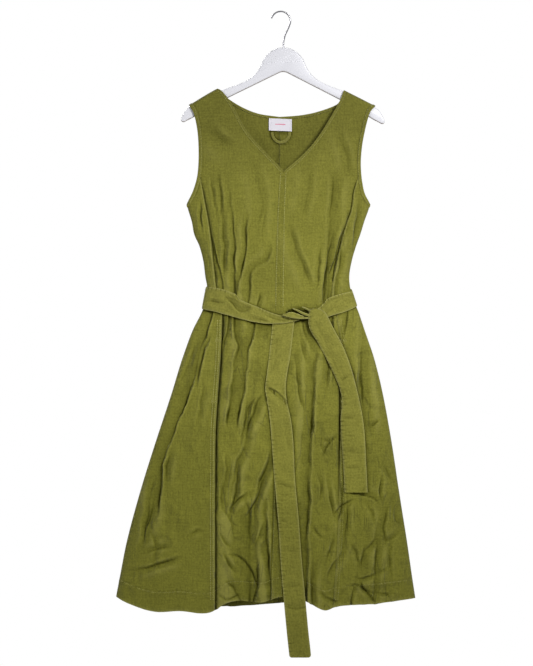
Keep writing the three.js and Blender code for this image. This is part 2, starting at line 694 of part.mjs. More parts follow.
const knotStart = angleAt(38, -640);
const knotEnd = angleAt(59, -628);
const quarterTurn = Math.PI / 2;
add(dress, 'belt_front_left', beltStretch('front', beltFrontLeft, -quarterTurn, knotStart, 12), 'linen');
add(dress, 'belt_front_right', beltStretch('front', beltFrontRight, knotEnd, quarterTurn, 8), 'linen');
add(dress, 'belt_back', beltStretch('back', beltBack, -quarterTurn, quarterTurn, 20), 'linen');
add(dress, 'belt_knot', beltKnot(), 'linen');
add(dress, 'belt_tail_short', beltTail(shortTail), 'linen');
add(dress, 'belt_tail_long', beltTail(longTail), 'linen');

const hanger = new THREE.Group();
hanger.rotation.y = hangerTilt;
const middle = new THREE.Group();
middle.position.x = hangerMiddle;
hanger.add(middle);
dress.add(hanger);
const carved = await solids();
add(middle, 'hanger_body', hangerBody(carved), 'paint');
add(middle, 'hanger_hook', hook(), 'steel');

export default dress;
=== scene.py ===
# %% [markdown]
# # A linen shift dress on a wooden hanger
#
# The dress hangs from a white hanger: six panels of olive linen, bound armholes, a V neck, pockets in the
# side-front seams and a tied belt. Each piece is made here with the folds, seams and stitches that a real
# one has. The CAD model is loaded first, as a fixed frame, and every piece stands where its CAD solid does.

# %% Load the fixed frame
import math

import bpy
import numpy as np
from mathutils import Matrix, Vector, noise


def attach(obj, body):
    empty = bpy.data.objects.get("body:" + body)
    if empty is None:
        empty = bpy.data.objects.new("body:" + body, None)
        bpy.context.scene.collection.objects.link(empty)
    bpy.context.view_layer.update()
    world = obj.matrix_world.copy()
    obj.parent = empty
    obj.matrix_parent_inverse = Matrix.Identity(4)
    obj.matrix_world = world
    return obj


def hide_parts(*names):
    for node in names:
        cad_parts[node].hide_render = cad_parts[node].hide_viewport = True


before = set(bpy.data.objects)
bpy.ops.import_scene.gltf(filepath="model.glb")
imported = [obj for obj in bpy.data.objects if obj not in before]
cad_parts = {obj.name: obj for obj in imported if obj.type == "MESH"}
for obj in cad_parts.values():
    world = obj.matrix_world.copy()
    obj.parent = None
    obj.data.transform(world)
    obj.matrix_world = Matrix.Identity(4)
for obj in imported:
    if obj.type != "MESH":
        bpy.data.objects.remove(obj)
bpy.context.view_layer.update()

MM = 0.001


# %% [markdown]
# ## The view, the light and the floor
#
# A garment is shown on its hanger from straight in front, at the height of its middle. A long lens seven
# metres away keeps the sides of the dress parallel, as a short lens up close would not. Linen is matt, so
# one soft lamp at the upper right is enough to draw its folds. A weaker one on the left, one from behind and
# plain light from all around fill them. The camera sees that surrounding light as plain white.

# %% Camera
scene = bpy.context.scene
field = 1.391                   # metres across the view, at the dress
stand_off = 7.0                 # metres from the camera to the dress
camera = bpy.data.objects.new("camera", bpy.data.cameras.new("camera"))
scene.collection.objects.link(camera)
camera.location = (-0.030, -stand_off, -0.670)
camera.rotation_euler = (math.radians(90), 0, 0)
camera.data.lens = camera.data.sensor_width * stand_off / field
scene.camera = camera
scene.view_settings.view_transform = "Standard"
print("lens in mm:", round(camera.data.lens, 1))


# %% Soft studio light
def area_light(name, place, target, size, power, spread=180):
    light = bpy.data.lights.new(name, "AREA")
    light.shape, light.size, light.energy, light.spread = "DISK", size, power, math.radians(spread)
    lamp = bpy.data.objects.new(name, light)
    lamp.location = place
    lamp.rotation_euler = (Vector(target) - Vector(place)).to_track_quat("-Z", "Y").to_euler()
    scene.collection.objects.link(lamp)


area_light("key", (1.42, -2.64, 0.72), (0, 0, -0.63), 0.7, 3.85, spread=36)
area_light("fill", (-2.2, -2.6, 0.4), (0, 0, -0.7), 1.6, 14)
area_light("back", (-1.2, 2.6, 0.8), (0, 0, -0.7), 1.4, 60)

world = bpy.data.worlds.new("studio")
scene.world = world
world.use_nodes = True
sky = world.node_tree
surround, seen = sky.nodes["Background"], sky.nodes.new("ShaderNodeBackground")
either, rays = sky.nodes.new("ShaderNodeMixShader"), sky.nodes.new("ShaderNodeLightPath")
surround.inputs["Color"].default_value = (1, 1, 1, 1)
surround.inputs["Strength"].default_value = 0.28
seen.inputs["Color"].default_value = (1, 1, 1, 1)
sky.links.new(rays.outputs["Is Camera Ray"], either.inputs[0])
sky.links.new(surround.outputs[0], either.inputs[1])
sky.links.new(seen.outputs[0], either.inputs[2])
sky.links.new(either.outputs[0], sky.nodes["World Output"].inputs["Surface"])


# %% Colours and shader nodes
def srgb(red, green, blue):
    """A colour as screens name it, from 0 to 255, turned into the linear one that shaders take."""
    shares = [c / 255 for c in (red, green, blue)]
    return tuple(c / 12.92 if c < 0.0404 else ((c + 0.055) / 1.055) ** 2.4 for c in shares) + (1,)


def add_node(tree, kind, settings=None, **inputs):
    """A node with its settings. An input is a number, a colour, or the output of another node.

    An input is named by its socket, or by i and its number where sockets share a name."""
    made = tree.nodes.new(kind)
    for key, value in (settings or {}).items():
        setattr(made, key, value)
    for key, value in inputs.items():
        key = int(key[1:]) if key[0] == "i" and key[1:].isdigit() else key.replace("_", " ")
        socket = made.inputs[key]
        if isinstance(value, bpy.types.NodeSocket):
            tree.links.new(value, socket)
        else:
            socket.default_value = value
    return made


def calculate(tree, operation, *values):
    inputs = {f"i{i}": value for i, value in enumerate(values)}
    return add_node(tree, "ShaderNodeMath", {"operation": operation}, **inputs).outputs[0]


def blend_colours(tree, share, first, second, how="MIX"):
    settings = {"data_type": "RGBA", "blend_type": how}
    return add_node(tree, "ShaderNodeMix", settings, i0=share, i6=first, i7=second).outputs[2]


def new_material(name, roughness, **settings):
    material = bpy.data.materials.new(name)
    material.use_nodes = True
    shader = material.node_tree.nodes["Principled BSDF"]
    shader.inputs["Roughness"].default_value = roughness
    for key, value in settings.items():
        shader.inputs[key.replace("_", " ")].default_value = value
    return material, material.node_tree, shader


print("olive as a linear colour:", [round(c, 3) for c in srgb(119, 117, 38)])

# %% Floor
floor_paint, tree, shader = new_material("pale_floor", 0.6)
cloudy = add_node(tree, "ShaderNodeTexNoise", Scale=3.0, Detail=4.0,
                  Vector=add_node(tree, "ShaderNodeTexCoord").outputs["Object"])
tree.links.new(blend_colours(tree, cloudy.outputs["Fac"], srgb(236, 235, 232), srgb(243, 242, 240)),
               shader.inputs["Base Color"])
bpy.ops.mesh.primitive_cylinder_add(vertices=96, radius=2.1, depth=0.02, location=(0, 0, -1.96))
floor = bpy.context.object
floor.name = "floor"
floor.data.materials.append(floor_paint)
print("the floor lies", round(-floor.location.z, 2), "m below the rail")

# %% [markdown]
# ## The body of the cloth
#
# A hanging dress is a flat tube. Its front and back are two skins that meet at the side seams and over the
# hanger's arms. A place on a skin is an angle round the body, from -90 degrees at the left side seam to 90
# at the right one, and a height. All these tables are in millimetres, and the same ones shape the CAD
# solids, so the finished cloth fits them with no moving or scaling.

# %% Sizes that shape the skins
wall = 1.2                      # one layer of linen
shoulder_round, shoulder_blend = 10, 110
underarm_z, knee_z = -401, -1002
half_turn = math.pi / 2

# height, left edge, right edge, depth of the front, depth of the back
body = [
    (-150, -206, 206, 12, 12), (-300, -201, 196, 21, 18), (-401, -196, 186, 30, 26),
    (-438, -186, 174, 31, 27),
    (-464, -181, 166, 31, 27), (-489, -170, 157, 31, 27), (-520, -162, 148, 30, 26),
    (-551, -158, 143, 29, 25),
    (-576, -154, 145, 28, 24), (-601, -157, 152, 28, 24), (-626, -165, 162, 29, 26),
    (-664, -184, 175, 32, 30),
    (-727, -207, 196, 38, 36), (-802, -230, 214, 43, 41), (-902, -263, 232, 48, 46),
    (-1002, -294, 247, 52, 50),
    (-1102, -321, 263, 55, 53), (-1178, -336, 274, 57, 55), (-1250, -349, 285, 58, 56),
]
shoulder_line = [(-220, -212), (-191.5, -193.9), (-134, -160), (0, -95), (132, -162.7), (197, -195.9),
                 (225, -212)]
hem_line = {
    "front": [(-350, -1216), (-315, -1234), (-262, -1249), (-210, -1247), (-150, -1250), (-104, -1226),
              (-40, -1228), (0, -1217), (50, -1226), (90, -1245), (116, -1237), (196, -1232),
              (290, -1222)],
    "back": [(-350, -1216), (-300, -1236), (-200, -1243), (-104, -1245), (0, -1238), (60, -1233),
             (160, -1229), (290, -1222)],
}

# %% Seams and cut edges, from the top down
lines = {
    "armhole_left": [(-191.5, -193.9), (-181, -214), (-173.5, -250), (-171, -295), (-173.5, -340),
                     (-182, -372), (-196, -401)],
    "armhole_right": [(197, -195.9), (184, -214), (172, -262), (167, -300), (167, -338), (173.5, -376),
                      (186, -401)],
    "neck_left": [(-134, -160), (-122, -167), (-101, -195), (-66, -256), (6, -334)],
    "neck_right": [(132, -162.7), (123, -186), (103, -222), (77, -263), (46, -299), (6, -334)],
    "back_neck_left": [(-134, -160), (-109, -181), (-81, -198), (-50, -210.5), (-19, -216), (-3, -217)],
    "back_neck_right": [(132, -162.7), (123, -186), (110, -196), (77, -207.5), (46, -214), (15, -217),
                        (-3, -217)],
    "centre_front": [(6, -334), (-1, -518), (-3, -640), (-4, -1000), (-10, -1260)],
    "centre_back": [(-3, -217), (-2, -600), (-6, -1260)],
    "side_front_left": [(-168, -344), (-158, -399), (-148, -459), (-135, -574), (-123, -626), (-125, -716),
                        (-133, -830), (-136, -920), (-136, -1260)],
    "side_front_right": [(163, -340), (152, -374), (146, -415), (127, -474), (107, -574), (116, -640),
                         (125, -714), (123, -852), (119, -1061), (106, -1260)],
}

print(len(body), "levels of the body and", len(lines), "seams and edges")


# %% Reading a table smoothly
def ease(share):
    share = np.clip(share, 0, 1)
    return share * share * (3 - 2 * share)


def read(rows, at):
    """Every other column of a table at the given keys, on a smooth curve through its rows."""
    rows = np.array(rows, float)
    at = np.asarray(at, float)
    keys, values = rows[:, 0], rows[:, 1:]
    sign = 1 if keys[1] > keys[0] else -1
    last = len(keys) - 2
    i = np.clip(np.searchsorted(sign * keys, sign * at) - 1, 0, last)
    before, after = np.maximum(i - 1, 0), np.minimum(i + 2, last + 1)
    span = keys[i + 1] - keys[i]
    share = np.clip((at - keys[i]) / span, 0, 1)[..., None]
    span = span[..., None]
    start = (values[i + 1] - values[before]) / (keys[i + 1] - keys[before])[..., None] * span
    end = (values[after] - values[i]) / (keys[after] - keys[i])[..., None] * span
    s2, s3 = share**2, share**3
    found = ((2 * s3 - 3 * s2 + 1) * values[i] + (s3 - 2 * s2 + share) * start
             + (3 * s2 - 2 * s3) * values[i + 1] + (s3 - s2) * end)
    return found[..., 0] if found.shape[-1] == 1 else found


def spline(points, count):
    """A smooth line through points, as many points long as count."""
    points = np.array(points, float)
    padded = np.vstack([2 * points[0] - points[1], points, 2 * points[-1] - points[-2]])
    at = np.linspace(0, len(points) - 1, count)
    i = np.minimum(at.astype(int), len(points) - 2)
    t = (at - i)[:, None]
    a, b, c, d = padded[i], padded[i + 1], padded[i + 2], padded[i + 3]
    return 0.5 * (2 * b + (c - a) * t + (2 * a - 5 * b + 4 * c - d) * t**2 + (3 * b - a - 3 * c + d) * t**3)


print("waist is", read(body, np.array([-600.0]))[0].round(1))


# %% The smooth skin, before its folds
def middle_and_half(z):
    row = read(body, z)
    return (row[..., 0] + row[..., 1]) / 2, (row[..., 1] - row[..., 0]) / 2


def angle_at(x, z):
    middle, half = middle_and_half(z)
    return np.arcsin(np.clip((x - middle) / half, -1, 1))


def bare_skin(side, angle, z):
    """Places on the smooth skin, in millimetres."""
    middle, half = middle_and_half(z)
    depth = read(body, z)[..., 2 if side == "front" else 3]
    x = middle + half * np.sin(angle)
    below = read(shoulder_line, x) - z
    over_arm = shoulder_round * np.sqrt(1 - np.clip(1 - below / shoulder_round, 0, 1) ** 2)
    share = ease((below - shoulder_round) / shoulder_blend)
    out = over_arm + (depth * np.cos(angle) - over_arm) * share
    return np.stack([x, (-1 if side == "front" else 1) * (0.15 + out), z], -1)


def outward(side, angle, z):
    """The direction that looks straight out of the smooth skin, found from its slope both ways."""
    z = np.minimum(z, read(shoulder_line, bare_skin(side, angle, z)[..., 0]) - 0.5)
    turn = bare_skin(side, angle + 0.0005, z) - bare_skin(side, angle - 0.0005, z)
    rise = bare_skin(side, angle, z + 0.3) - bare_skin(side, angle, z - 0.3)
    normal = np.cross(turn, rise)
    normal /= np.linalg.norm(normal, axis=-1, keepdims=True)
    return normal if side == "front" else -normal


middle, half = middle_and_half(-600.0)
print("at the belt the body is", round(2 * float(half), 1), "mm wide, about x =", round(float(middle), 1))


# %% Rows of points, and where a line crosses them
def height_of(level, x, side):
    """Levels run from the hem (-2) over the knee (-1) and the underarm (0) to the shoulder (1)."""
    top, hem = read(shoulder_line, x), read(hem_line[side], x)
    return np.where(level >= 0, underarm_z + (top - underarm_z) * level,
                    np.where(level >= -1, underarm_z + (underarm_z - knee_z) * level,
                             knee_z + (knee_z - hem) * (level + 1)))


def level_of(x, z, side):
    top, hem = read(shoulder_line, x), read(hem_line[side], x)
    return np.where(z >= underarm_z, (z - underarm_z) / (top - underarm_z),
                    np.where(z >= knee_z, (z - underarm_z) / (underarm_z - knee_z),
                             -1 - (knee_z - z) / (knee_z - hem)))


def height_at_angle(level, angle, side):
    z = height_of(level, 0 * angle, side)
    for _ in range(8):
        z = height_of(level, bare_skin(side, angle, z)[..., 0], side)
    return z


def boundary(side, level, names):
    """The angle of a panel's edge at each level. Each named line takes over where it starts."""
    angle = np.zeros_like(level)
    for i, name in enumerate(names):
        if name in ("side_seam_left", "side_seam_right"):
            here, found = level <= 1e-6, half_turn * (-1 if name.endswith("left") else 1) + 0 * level
        else:
            line = spline(lines[name], 400)
            levels = level_of(line[:, 0], line[:, 1], side)
            found = np.interp(level, levels[::-1], angle_at(line[:, 0], line[:, 1])[::-1])
            here = level <= levels[0] + 1e-6
        angle = np.where(here if i else True, found, angle)
    return angle


seam_at_hem = boundary("front", np.array([-2.0]), ["centre_front"])[0]
print("the centre front seam reaches the hem at", round(math.degrees(seam_at_hem), 1), "degrees")

# %% [markdown]
# ## Folds and creases
#
# Linen holds every fold it is given. The big ones fall from the belt and the bust, and small sharp ones
# crumple the skirt near the hem. A simulation would put folds where it likes, so here each one is drawn as a
# line on the cloth, with its depth and with the reach of its left and right slopes. A short slope beside a
# long one is what makes a fold look rolled over. Small random crumples then come from noise, which is the
# same in every run.

# %% Folds of the front: depth, reach of the left slope, reach of the right slope, and the line
front_folds = [
    # bodice
    (2.2, 7, 5, [(-132, -326), (-123, -399), (-127, -440)]),
    (1.8, 5, 7, [(-146, -330), (-140, -390), (-130, -450)]),
    (4, 7, 3, [(-146, -462), (-139, -490), (-134, -513), (-128.5, -541), (-121.6, -576), (-119, -604)]),
    (2.2, 6, 9, [(-119, -380), (-122, -427), (-119, -485), (-119, -532), (-124, -560)]),
    (2.2, 4, 3, [(-121, -396), (-124, -414), (-128, -432)]),
    (2.5, 8, 4, [(-108, -360), (-106.5, -392), (-103, -420), (-99.5, -457), (-96, -490), (-98.4, -532),
                 (-97, -583), (-97, -606)]),
    (2.8, 9, 9, [(-99, -530), (-98, -560), (-97, -606)]),
    (3.2, 8, 4, [(-69, -410), (-70.5, -443), (-72.8, -462), (-72.8, -490), (-79.8, -522), (-88, -564),
                 (-93, -604)]),
    (1.8, 4, 6, [(-32, -410), (-34.6, -450), (-37, -480)]),
    (3.4, 10, 5, [(-20, -480), (-23, -504), (-32, -520), (-48, -529), (-62, -541), (-67, -555), (-69, -610)]),
    (2, 4, 6, [(-42, -580), (-50, -620)]),
    (3, 5, 5, [(-167, -390), (-167, -430), (-163, -470)]),
    (2.2, 22, 14, [(-160, -225), (-128, -262), (-92, -285)]),
    (1.6, 16, 16, [(-60, -300), (-40, -390), (-48, -470)]),
    (3.5, 6, 10, [(164, -374), (158, -430), (150, -505)]),
    (3, 8, 15, [(111, -330), (104, -416), (100, -501), (90, -604)]),
    (3, 3, 6, [(132, -440), (120, -490), (104, -545), (96, -604)]),
    (2.4, 3, 5, [(120, -430), (110, -470), (98, -520), (88, -600)]),
    (1.8, 6, 4, [(84, -480), (80, -540), (74, -590)]),
    (1.8, 4, 5, [(140, -400), (138, -440), (132, -480)]),
    (3, 5, 9, [(128, -478), (120, -530), (110, -600)]),
    (2, 12, 12, [(111, -226), (134, -288), (146, -350)]),
    (1.2, 3, 3, [(104, -400), (115, -406), (128, -414)]),
    (2.4, 14, 10, [(14, -430), (36, -505), (70, -590)]),
    (1.4, 16, 12, [(60, -300), (58, -380), (40, -450)]),
    # skirt, left side panel
    (11, 22, 5, [(-141, -612), (-149, -650), (-165, -693), (-182, -755), (-200, -812), (-228, -884),
                 (-242, -918), (-249, -960), (-253, -1010), (-262, -1060)]),
    (4, 8, 5, [(-146, -660), (-158, -700), (-172, -748), (-178, -790)]),
    (4, 6, 10, [(-172, -680), (-190, -722), (-214, -786)]),
    (3, 5, 8, [(-157, -770), (-168, -821), (-178, -872)]),
    (3.4, 7, 12, [(-262, -1000), (-276, -1060), (-300, -1130)]),
    (3.4, 7, 5, [(-262, -960), (-272, -1010), (-282, -1070), (-290, -1120)]),
    (2.6, 6, 8, [(-226, -900), (-238, -950), (-240, -1000)]),
    (2.4, 5, 8, [(-268, -1080), (-262, -1120), (-270, -1160)]),
    (3.6, 9, 5, [(-312, -1164), (-280, -1158), (-253, -1149), (-196, -1130)]),
    (2.4, 6, 8, [(-298, -1136), (-262, -1120), (-222, -1112)]),
    (2, 6, 6, [(-196, -1096), (-176, -1080), (-158, -1082)]),
    # the mouths of the pockets
    (6, 3, 9, [(-108, -620), (-110, -655), (-118, -692), (-126, -718)]),
    (5, 8, 2.6, [(141, -610), (138.5, -640), (129, -676), (125, -700)]),
    # skirt, front left
    (4.4, 5, 14, [(-94, -622), (-95, -672), (-90, -697), (-93, -712), (-98, -745), (-102, -781),
                  (-108, -830), (-115, -880)]),
    (7, 16, 5, [(-54, -636), (-62, -680), (-70, -716), (-75, -760), (-79, -793), (-87, -840), (-96, -880)]),
    (3.6, 4, 9, [(-66, -800), (-72, -838), (-80, -876), (-88, -905)]),
    (3, 5, 8, [(-118, -910), (-112, -955), (-122, -1000), (-120, -1045)]),
    (5, 5, 10, [(-33, -790), (-51, -814), (-58, -840), (-71, -867), (-75, -900), (-92, -944), (-101, -992)]),
    (3.2, 4, 7, [(-52, -800), (-66, -826), (-70, -856)]),
    (4.6, 5, 10, [(-23, -900), (-27, -938), (-50, -998), (-57, -1075)]),
    (3.6, 5, 8, [(-88, -930), (-94, -998), (-104, -1040), (-118, -1070)]),
    (2.4, 4, 6, [(-122, -1030), (-106, -1060), (-98, -1090)]),
    (2.2, 5, 5, [(-76, -1010), (-66, -1050), (-72, -1090)]),
    (7, 30, 30, [(-66, -1020), (-66, -1120), (-64, -1235)]),
    (3, 4, 6, [(-122, -1120), (-108, -1152), (-92, -1172)]),
    (2.4, 5, 4, [(-134, -1206), (-112, -1222), (-92, -1214)]),
    (6, 11, 5, [(-33, -1000), (-29, -1113), (-23, -1176), (-25, -1230)]),
    (3, 6, 6, [(-52, -1130), (-50, -1180), (-56, -1230)]),
    (4, 4, 9, [(-30, -950), (-51, -1012), (-72, -1047), (-90, -1076)]),
    (3, 4, 8, [(-47, -991), (-72, -1004), (-93, -1019), (-113, -1047)]),
    (2.6, 4, 6, [(-130, -1078), (-117, -1102), (-100, -1118)]),
    (3, 6, 4, [(-116, -1128), (-86, -1134), (-65, -1158), (-51, -1194)]),
    (2.6, 5, 8, [(-120, -1180), (-100, -1196), (-84, -1226)]),
    (2.6, 4, 7, [(-36, -1060), (-44, -1092), (-58, -1116)]),
    # skirt, front right
    (8, 15, 6, [(81, -700), (74.5, -725), (68, -749), (65.6, -806), (61, -889), (56, -969), (56, -1020),
                (53, -1100), (50, -1230)]),
    (3.5, 6, 9, [(46, -640), (52, -672), (61, -693), (68, -722)]),
    (2.6, 4, 7, [(28, -690), (30, -728), (34, -767), (40, -806), (51, -838)]),
    (2.4, 5, 8, [(40, -672), (45, -708), (58, -744)]),
    (4, 10, 6, [(108, -640), (101, -720), (92, -800)]),
    (3.4, 8, 4, [(171, -740), (167, -778), (160, -800)]),
    (2.2, 4, 6, [(174, -872), (193, -861), (208, -846)]),
    (2.6, 3, 6, [(78, -890), (88, -915), (100, -928)]),
    (2.2, 5, 3, [(112, -884), (98, -903), (84, -932)]),
    (2.4, 4, 6, [(70, -945), (82, -985), (80, -1030)]),
    (4, 5, 8, [(66, -1130), (64, -1180), (66, -1235)]),
    (2.6, 4, 6, [(92, -955), (103, -1019), (115, -1068)]),
    (2.4, 6, 4, [(134, -1008), (126, -1040), (114, -1068)]),
    (2.4, 5, 6, [(112, -1075), (104, -1110), (92, -1150)]),
    (2.2, 3, 5, [(72, -884), (95, -894), (125, -882)]),
    (3.6, 4, 9, [(130, -1088), (123, -1130), (102, -1158), (94, -1190)]),
    (2.6, 4, 7, [(156, -1010), (123, -1033), (104, -1056)]),
    (2.6, 5, 4, [(64, -1066), (82, -1090), (104, -1094)]),
    (3, 7, 4, [(76, -1196), (88, -1214), (112, -1226)]),
    # skirt, right side panel
    (3.4, 12, 14, [(172, -640), (168, -760), (180, -900)]),
    (2.6, 9, 9, [(204, -700), (214, -800), (222, -880)]),
    (2.4, 5, 10, [(140, -990), (158, -1004), (186, -1010), (212, -1030)]),
    (3, 12, 5, [(120, -960), (128, -1010), (136, -1068), (128, -1120)]),
    (3, 5, 12, [(178, -1100), (170, -1140), (164, -1172)]),
    (2.6, 12, 5, [(222, -1020), (214, -1070), (218, -1120)]),
    (2.4, 4, 6, [(138, -1006), (138, -1057), (139, -1104)]),
    (2, 5, 5, [(176, -1015), (190, -1045), (196, -1080)]),
    (3, 5, 9, [(200, -1085), (197, -1140), (193, -1225)]),
    (2.6, 3.5, 6, [(158, -1165), (151, -1200), (144, -1236)]),
    (2.8, 6, 3.5, [(160, -1172), (176, -1203), (194, -1226)]),
    (2.2, 5, 5, [(140, -1100), (158, -1130), (164, -1168)]),
    (3, 4, 8, [(198, -1086), (221, -1102), (257, -1080)]),
    (3.2, 8, 4, [(163, -1134), (192.8, -1102), (201, -1058)]),
    (3, 7, 4, [(142, -1170), (171.6, -1179), (236, -1150)]),
    (2.6, 5, 4, [(128, -1200), (158, -1192), (186, -1207), (223, -1213)]),
    (2.4, 4, 7, [(232, -1040), (244, -1064), (262, -1070)]),
    (2.6, 4, 6, [(212, -960), (206, -1000), (214, -1030)]),
    (2, 6, 6, [(236, -1080), (228, -1130), (232, -1190)]),
    (2, 7, 5, [(214, -940), (228, -970), (244, -985)]),
]

# %% Folds of the back
back_folds = [
    (4, 12, 7, [(-100, -330), (-92, -440), (-80, -580)]),
    (4, 7, 12, [(94, -320), (86, -440), (72, -580)]),
    (2.5, 9, 7, [(-134, -400), (-124, -480), (-112, -590)]),
    (2.5, 7, 9, [(132, -410), (120, -500), (112, -590)]),
    (1.6, 14, 14, [(-60, -260), (-36, -350), (-44, -450)]),
    (1.6, 14, 12, [(70, -280), (52, -370), (50, -470)]),
    (10, 18, 7, [(-118, -630), (-165, -800), (-205, -950), (-232, -1120)]),
    (8, 7, 14, [(-58, -640), (-84, -850), (-96, -1050), (-108, -1245)]),
    (5, 8, 12, [(-24, -650), (-40, -760), (-44, -880)]),
    (7, 8, 14, [(20, -650), (34, -860), (30, -1040), (46, -1235)]),
    (9, 14, 7, [(92, -630), (120, -850), (150, -1040), (166, -1225)]),
    (5, 6, 9, [(60, -640), (72, -740), (88, -850)]),
    (4, 7, 10, [(-170, -720), (-205, -830), (-236, -900)]),
    (4, 9, 7, [(150, -680), (178, -800), (196, -920)]),
    (3, 5, 8, [(-260, -960), (-280, -1060), (-300, -1150)]),
    (2.8, 5, 7, [(-20, -960), (-26, -1030), (-10, -1100)]),
    (2.6, 4, 7, [(66, -980), (80, -1050), (76, -1130)]),
    (2.8, 7, 4, [(-180, -1120), (-150, -1142), (-118, -1136)]),
    (2.4, 4, 6, [(-164, -1010), (-150, -1060), (-158, -1110)]),
    (3, 5, 7, [(206, -1040), (216, -1120), (212, -1200)]),
    (2.4, 6, 4, [(100, -1150), (130, -1164), (168, -1150)]),
    (2.2, 4, 5, [(0, -1140), (10, -1180), (2, -1225)]),
]
print(len(front_folds) + len(back_folds), "folds drawn by hand")


# %% A fold's shape on the cloth
fold_strength = 1.55


def one_fold(x, z, depth, left, right, path, fade=45, tied=False):
    """Height and shade that one fold gives to places x, z: a trough with a low roll beside it.

    A fold fades out at its ends, but not at the hem, and not where it is tied and runs in under the belt."""
    line = spline(path, 8 * len(path))
    steps = np.diff(line, axis=0)
    lengths = np.linalg.norm(steps, axis=1)
    start = np.concatenate([[0], np.cumsum(lengths)])
    reach = 4 * max(left, right)
    near = ((x > line[:, 0].min() - reach) & (x < line[:, 0].max() + reach)
            & (z > line[:, 1].min() - reach) & (z < line[:, 1].max() + reach))
    height, shade = np.zeros_like(x), np.zeros_like(x)
    if not near.any():
        return height, shade
    px, pz = x[near][:, None] - line[:-1, 0], z[near][:, None] - line[:-1, 1]
    share = np.clip((px * steps[:, 0] + pz * steps[:, 1]) / lengths**2, 0, 1)
    distance = np.hypot(px - share * steps[:, 0], pz - share * steps[:, 1])
    nearest = distance.argmin(axis=1)
    rows = np.arange(len(nearest))
    turned = (steps[:, 0] * pz - steps[:, 1] * px)[rows, nearest]
    along = start[nearest] + share[rows, nearest] * lengths[nearest]
    fade = min(fade, start[-1] / 2.2)
    starts_held = tied and -660 < line[0, 1] < -600
    ends_held = line[-1, 1] < -1190 or tied and -640 < line[-1, 1] < -590
    at_start = 1 if starts_held else ease(along / fade)
    ends = at_start * (1 if ends_held else ease((start[-1] - along) / fade))
    first = line[0].sum()
    uneven = 0.80 + 0.2 * np.sin(along / 31 + first) + 0.12 * np.sin(along / 11.3 + 2 * first)
    away = distance[rows, nearest]
    side_reach = np.where(turned > 0, right, left)
    u = away / side_reach
    height[near] = depth * ends * uneven * (0.38 * np.exp(-((u - 1.9) ** 2) / 0.7) - np.exp(-u * u))
    # the dark line of the crease, and a softer dusk on its longer slope
    steep = min(0.9, 1.3 * depth / (min(left, right) + 3)) * ends
    width = 0.6 + (0.12 * min(left, right) + 0.14 * depth + 0.4) * uneven
    longer = side_reach > min(left, right)
    dusk = np.where(longer, (0.32 + 0.02 * depth) * np.exp(-away / (0.55 * side_reach)), 0)
    shade[near] = steep * np.maximum(uneven**1.5 * np.exp(-((away / width) ** 2)), dusk)
    return height, shade


def wander(x, z):
    """Moves places by a few mm, back and forth, so that no fold drawn on them runs quite straight."""
    spots = np.stack([x / 24, z / 34], -1).reshape(-1, 2).tolist()
    moved = np.array([(noise.noise((a, b, 4.7)), noise.noise((2.3 * a, 2.1 * b, 9.2))) for a, b in spots])
    return x + (3.6 * moved[:, 0] + 1.7 * moved[:, 1]).reshape(x.shape)


def line_x(name, z):
    """Where a named line is, from left to right, at a height."""
    line = spline(lines[name], 200)
    return np.interp(z, line[::-1, 1], line[::-1, 0])


def near_line(distance, width):
    """1 on a line, falling to 0 within about twice its width."""
    return np.exp(-((distance / width) ** 2))


def beside(name, away):
    """A run of places at a distance from a named line."""
    line = spline(lines[name], 40)
    run = np.gradient(line, axis=0)
    run /= np.linalg.norm(run, axis=1, keepdims=True)
    return (line + away * np.stack([-run[:, 1], run[:, 0]], -1)).tolist()


# the groove that stitching presses along the inner edge of each band: its line, place beside it and darkness
grooves = {
    "front": [("armhole_left", 8, 0.8), ("armhole_right", -8, 0.8), ("neck_left", -6.4, 0.35),
              ("neck_right", 6.4, 0.35)],
    "back": [("armhole_left", 8, 0.8), ("armhole_right", -8, 0.8)],
}


def band_grooves(side, x, z):
    """Height and shade of the grooves beside the bands."""
    height, shade = np.zeros_like(x), np.zeros_like(x)
    for name, away, dark in grooves[side]:
        more_height, more_shade = one_fold(x, z, 0.7 * dark, 1.6, 1.6, beside(name, away), fade=8)
        height += more_height
        shade = np.maximum(shade, more_shade * 1.2)
    return height, shade


def all_folds(x, z, table):
    """Height and shade of every fold in a table, at places x, z."""
    height, shade = np.zeros_like(x), np.zeros_like(x)
    x = wander(x, z)
    for depth, left, right, path in table:
        # the steeper slope of a linen crease is a short one
        tight, wide = 0.52 * min(left, right), 0.85 * max(left, right)
        left, right = (tight, wide) if left < right else (wide, tight)
        deep = min(fold_strength * depth, 2.5 + 1.5 * tight)
        more_height, more_shade = one_fold(x, z, deep, left, right, path, tied=True)
        height += more_height
        shade = np.maximum(shade, more_shade)
    return height, shade


across = np.linspace(-200, -150, 11)
heights = all_folds(across, 0 * across - 755, front_folds)[0]
print("across the first fold of the left side panel, in mm:", heights.round(1))


# %% Small crumples from noise
# height of the place, how strongly the cloth is crumpled there, and how finely it is creased
crumpling = [(-150, 0.1, 0.1), (-360, 0.16, 0.12), (-480, 0.2, 0.4), (-600, 0.3, 0.6), (-700, 0.5, 0.9),
             (-880, 0.9, 1), (-1020, 1.35, 1), (-1150, 1.6, 1), (-1260, 1.3, 0.9)]


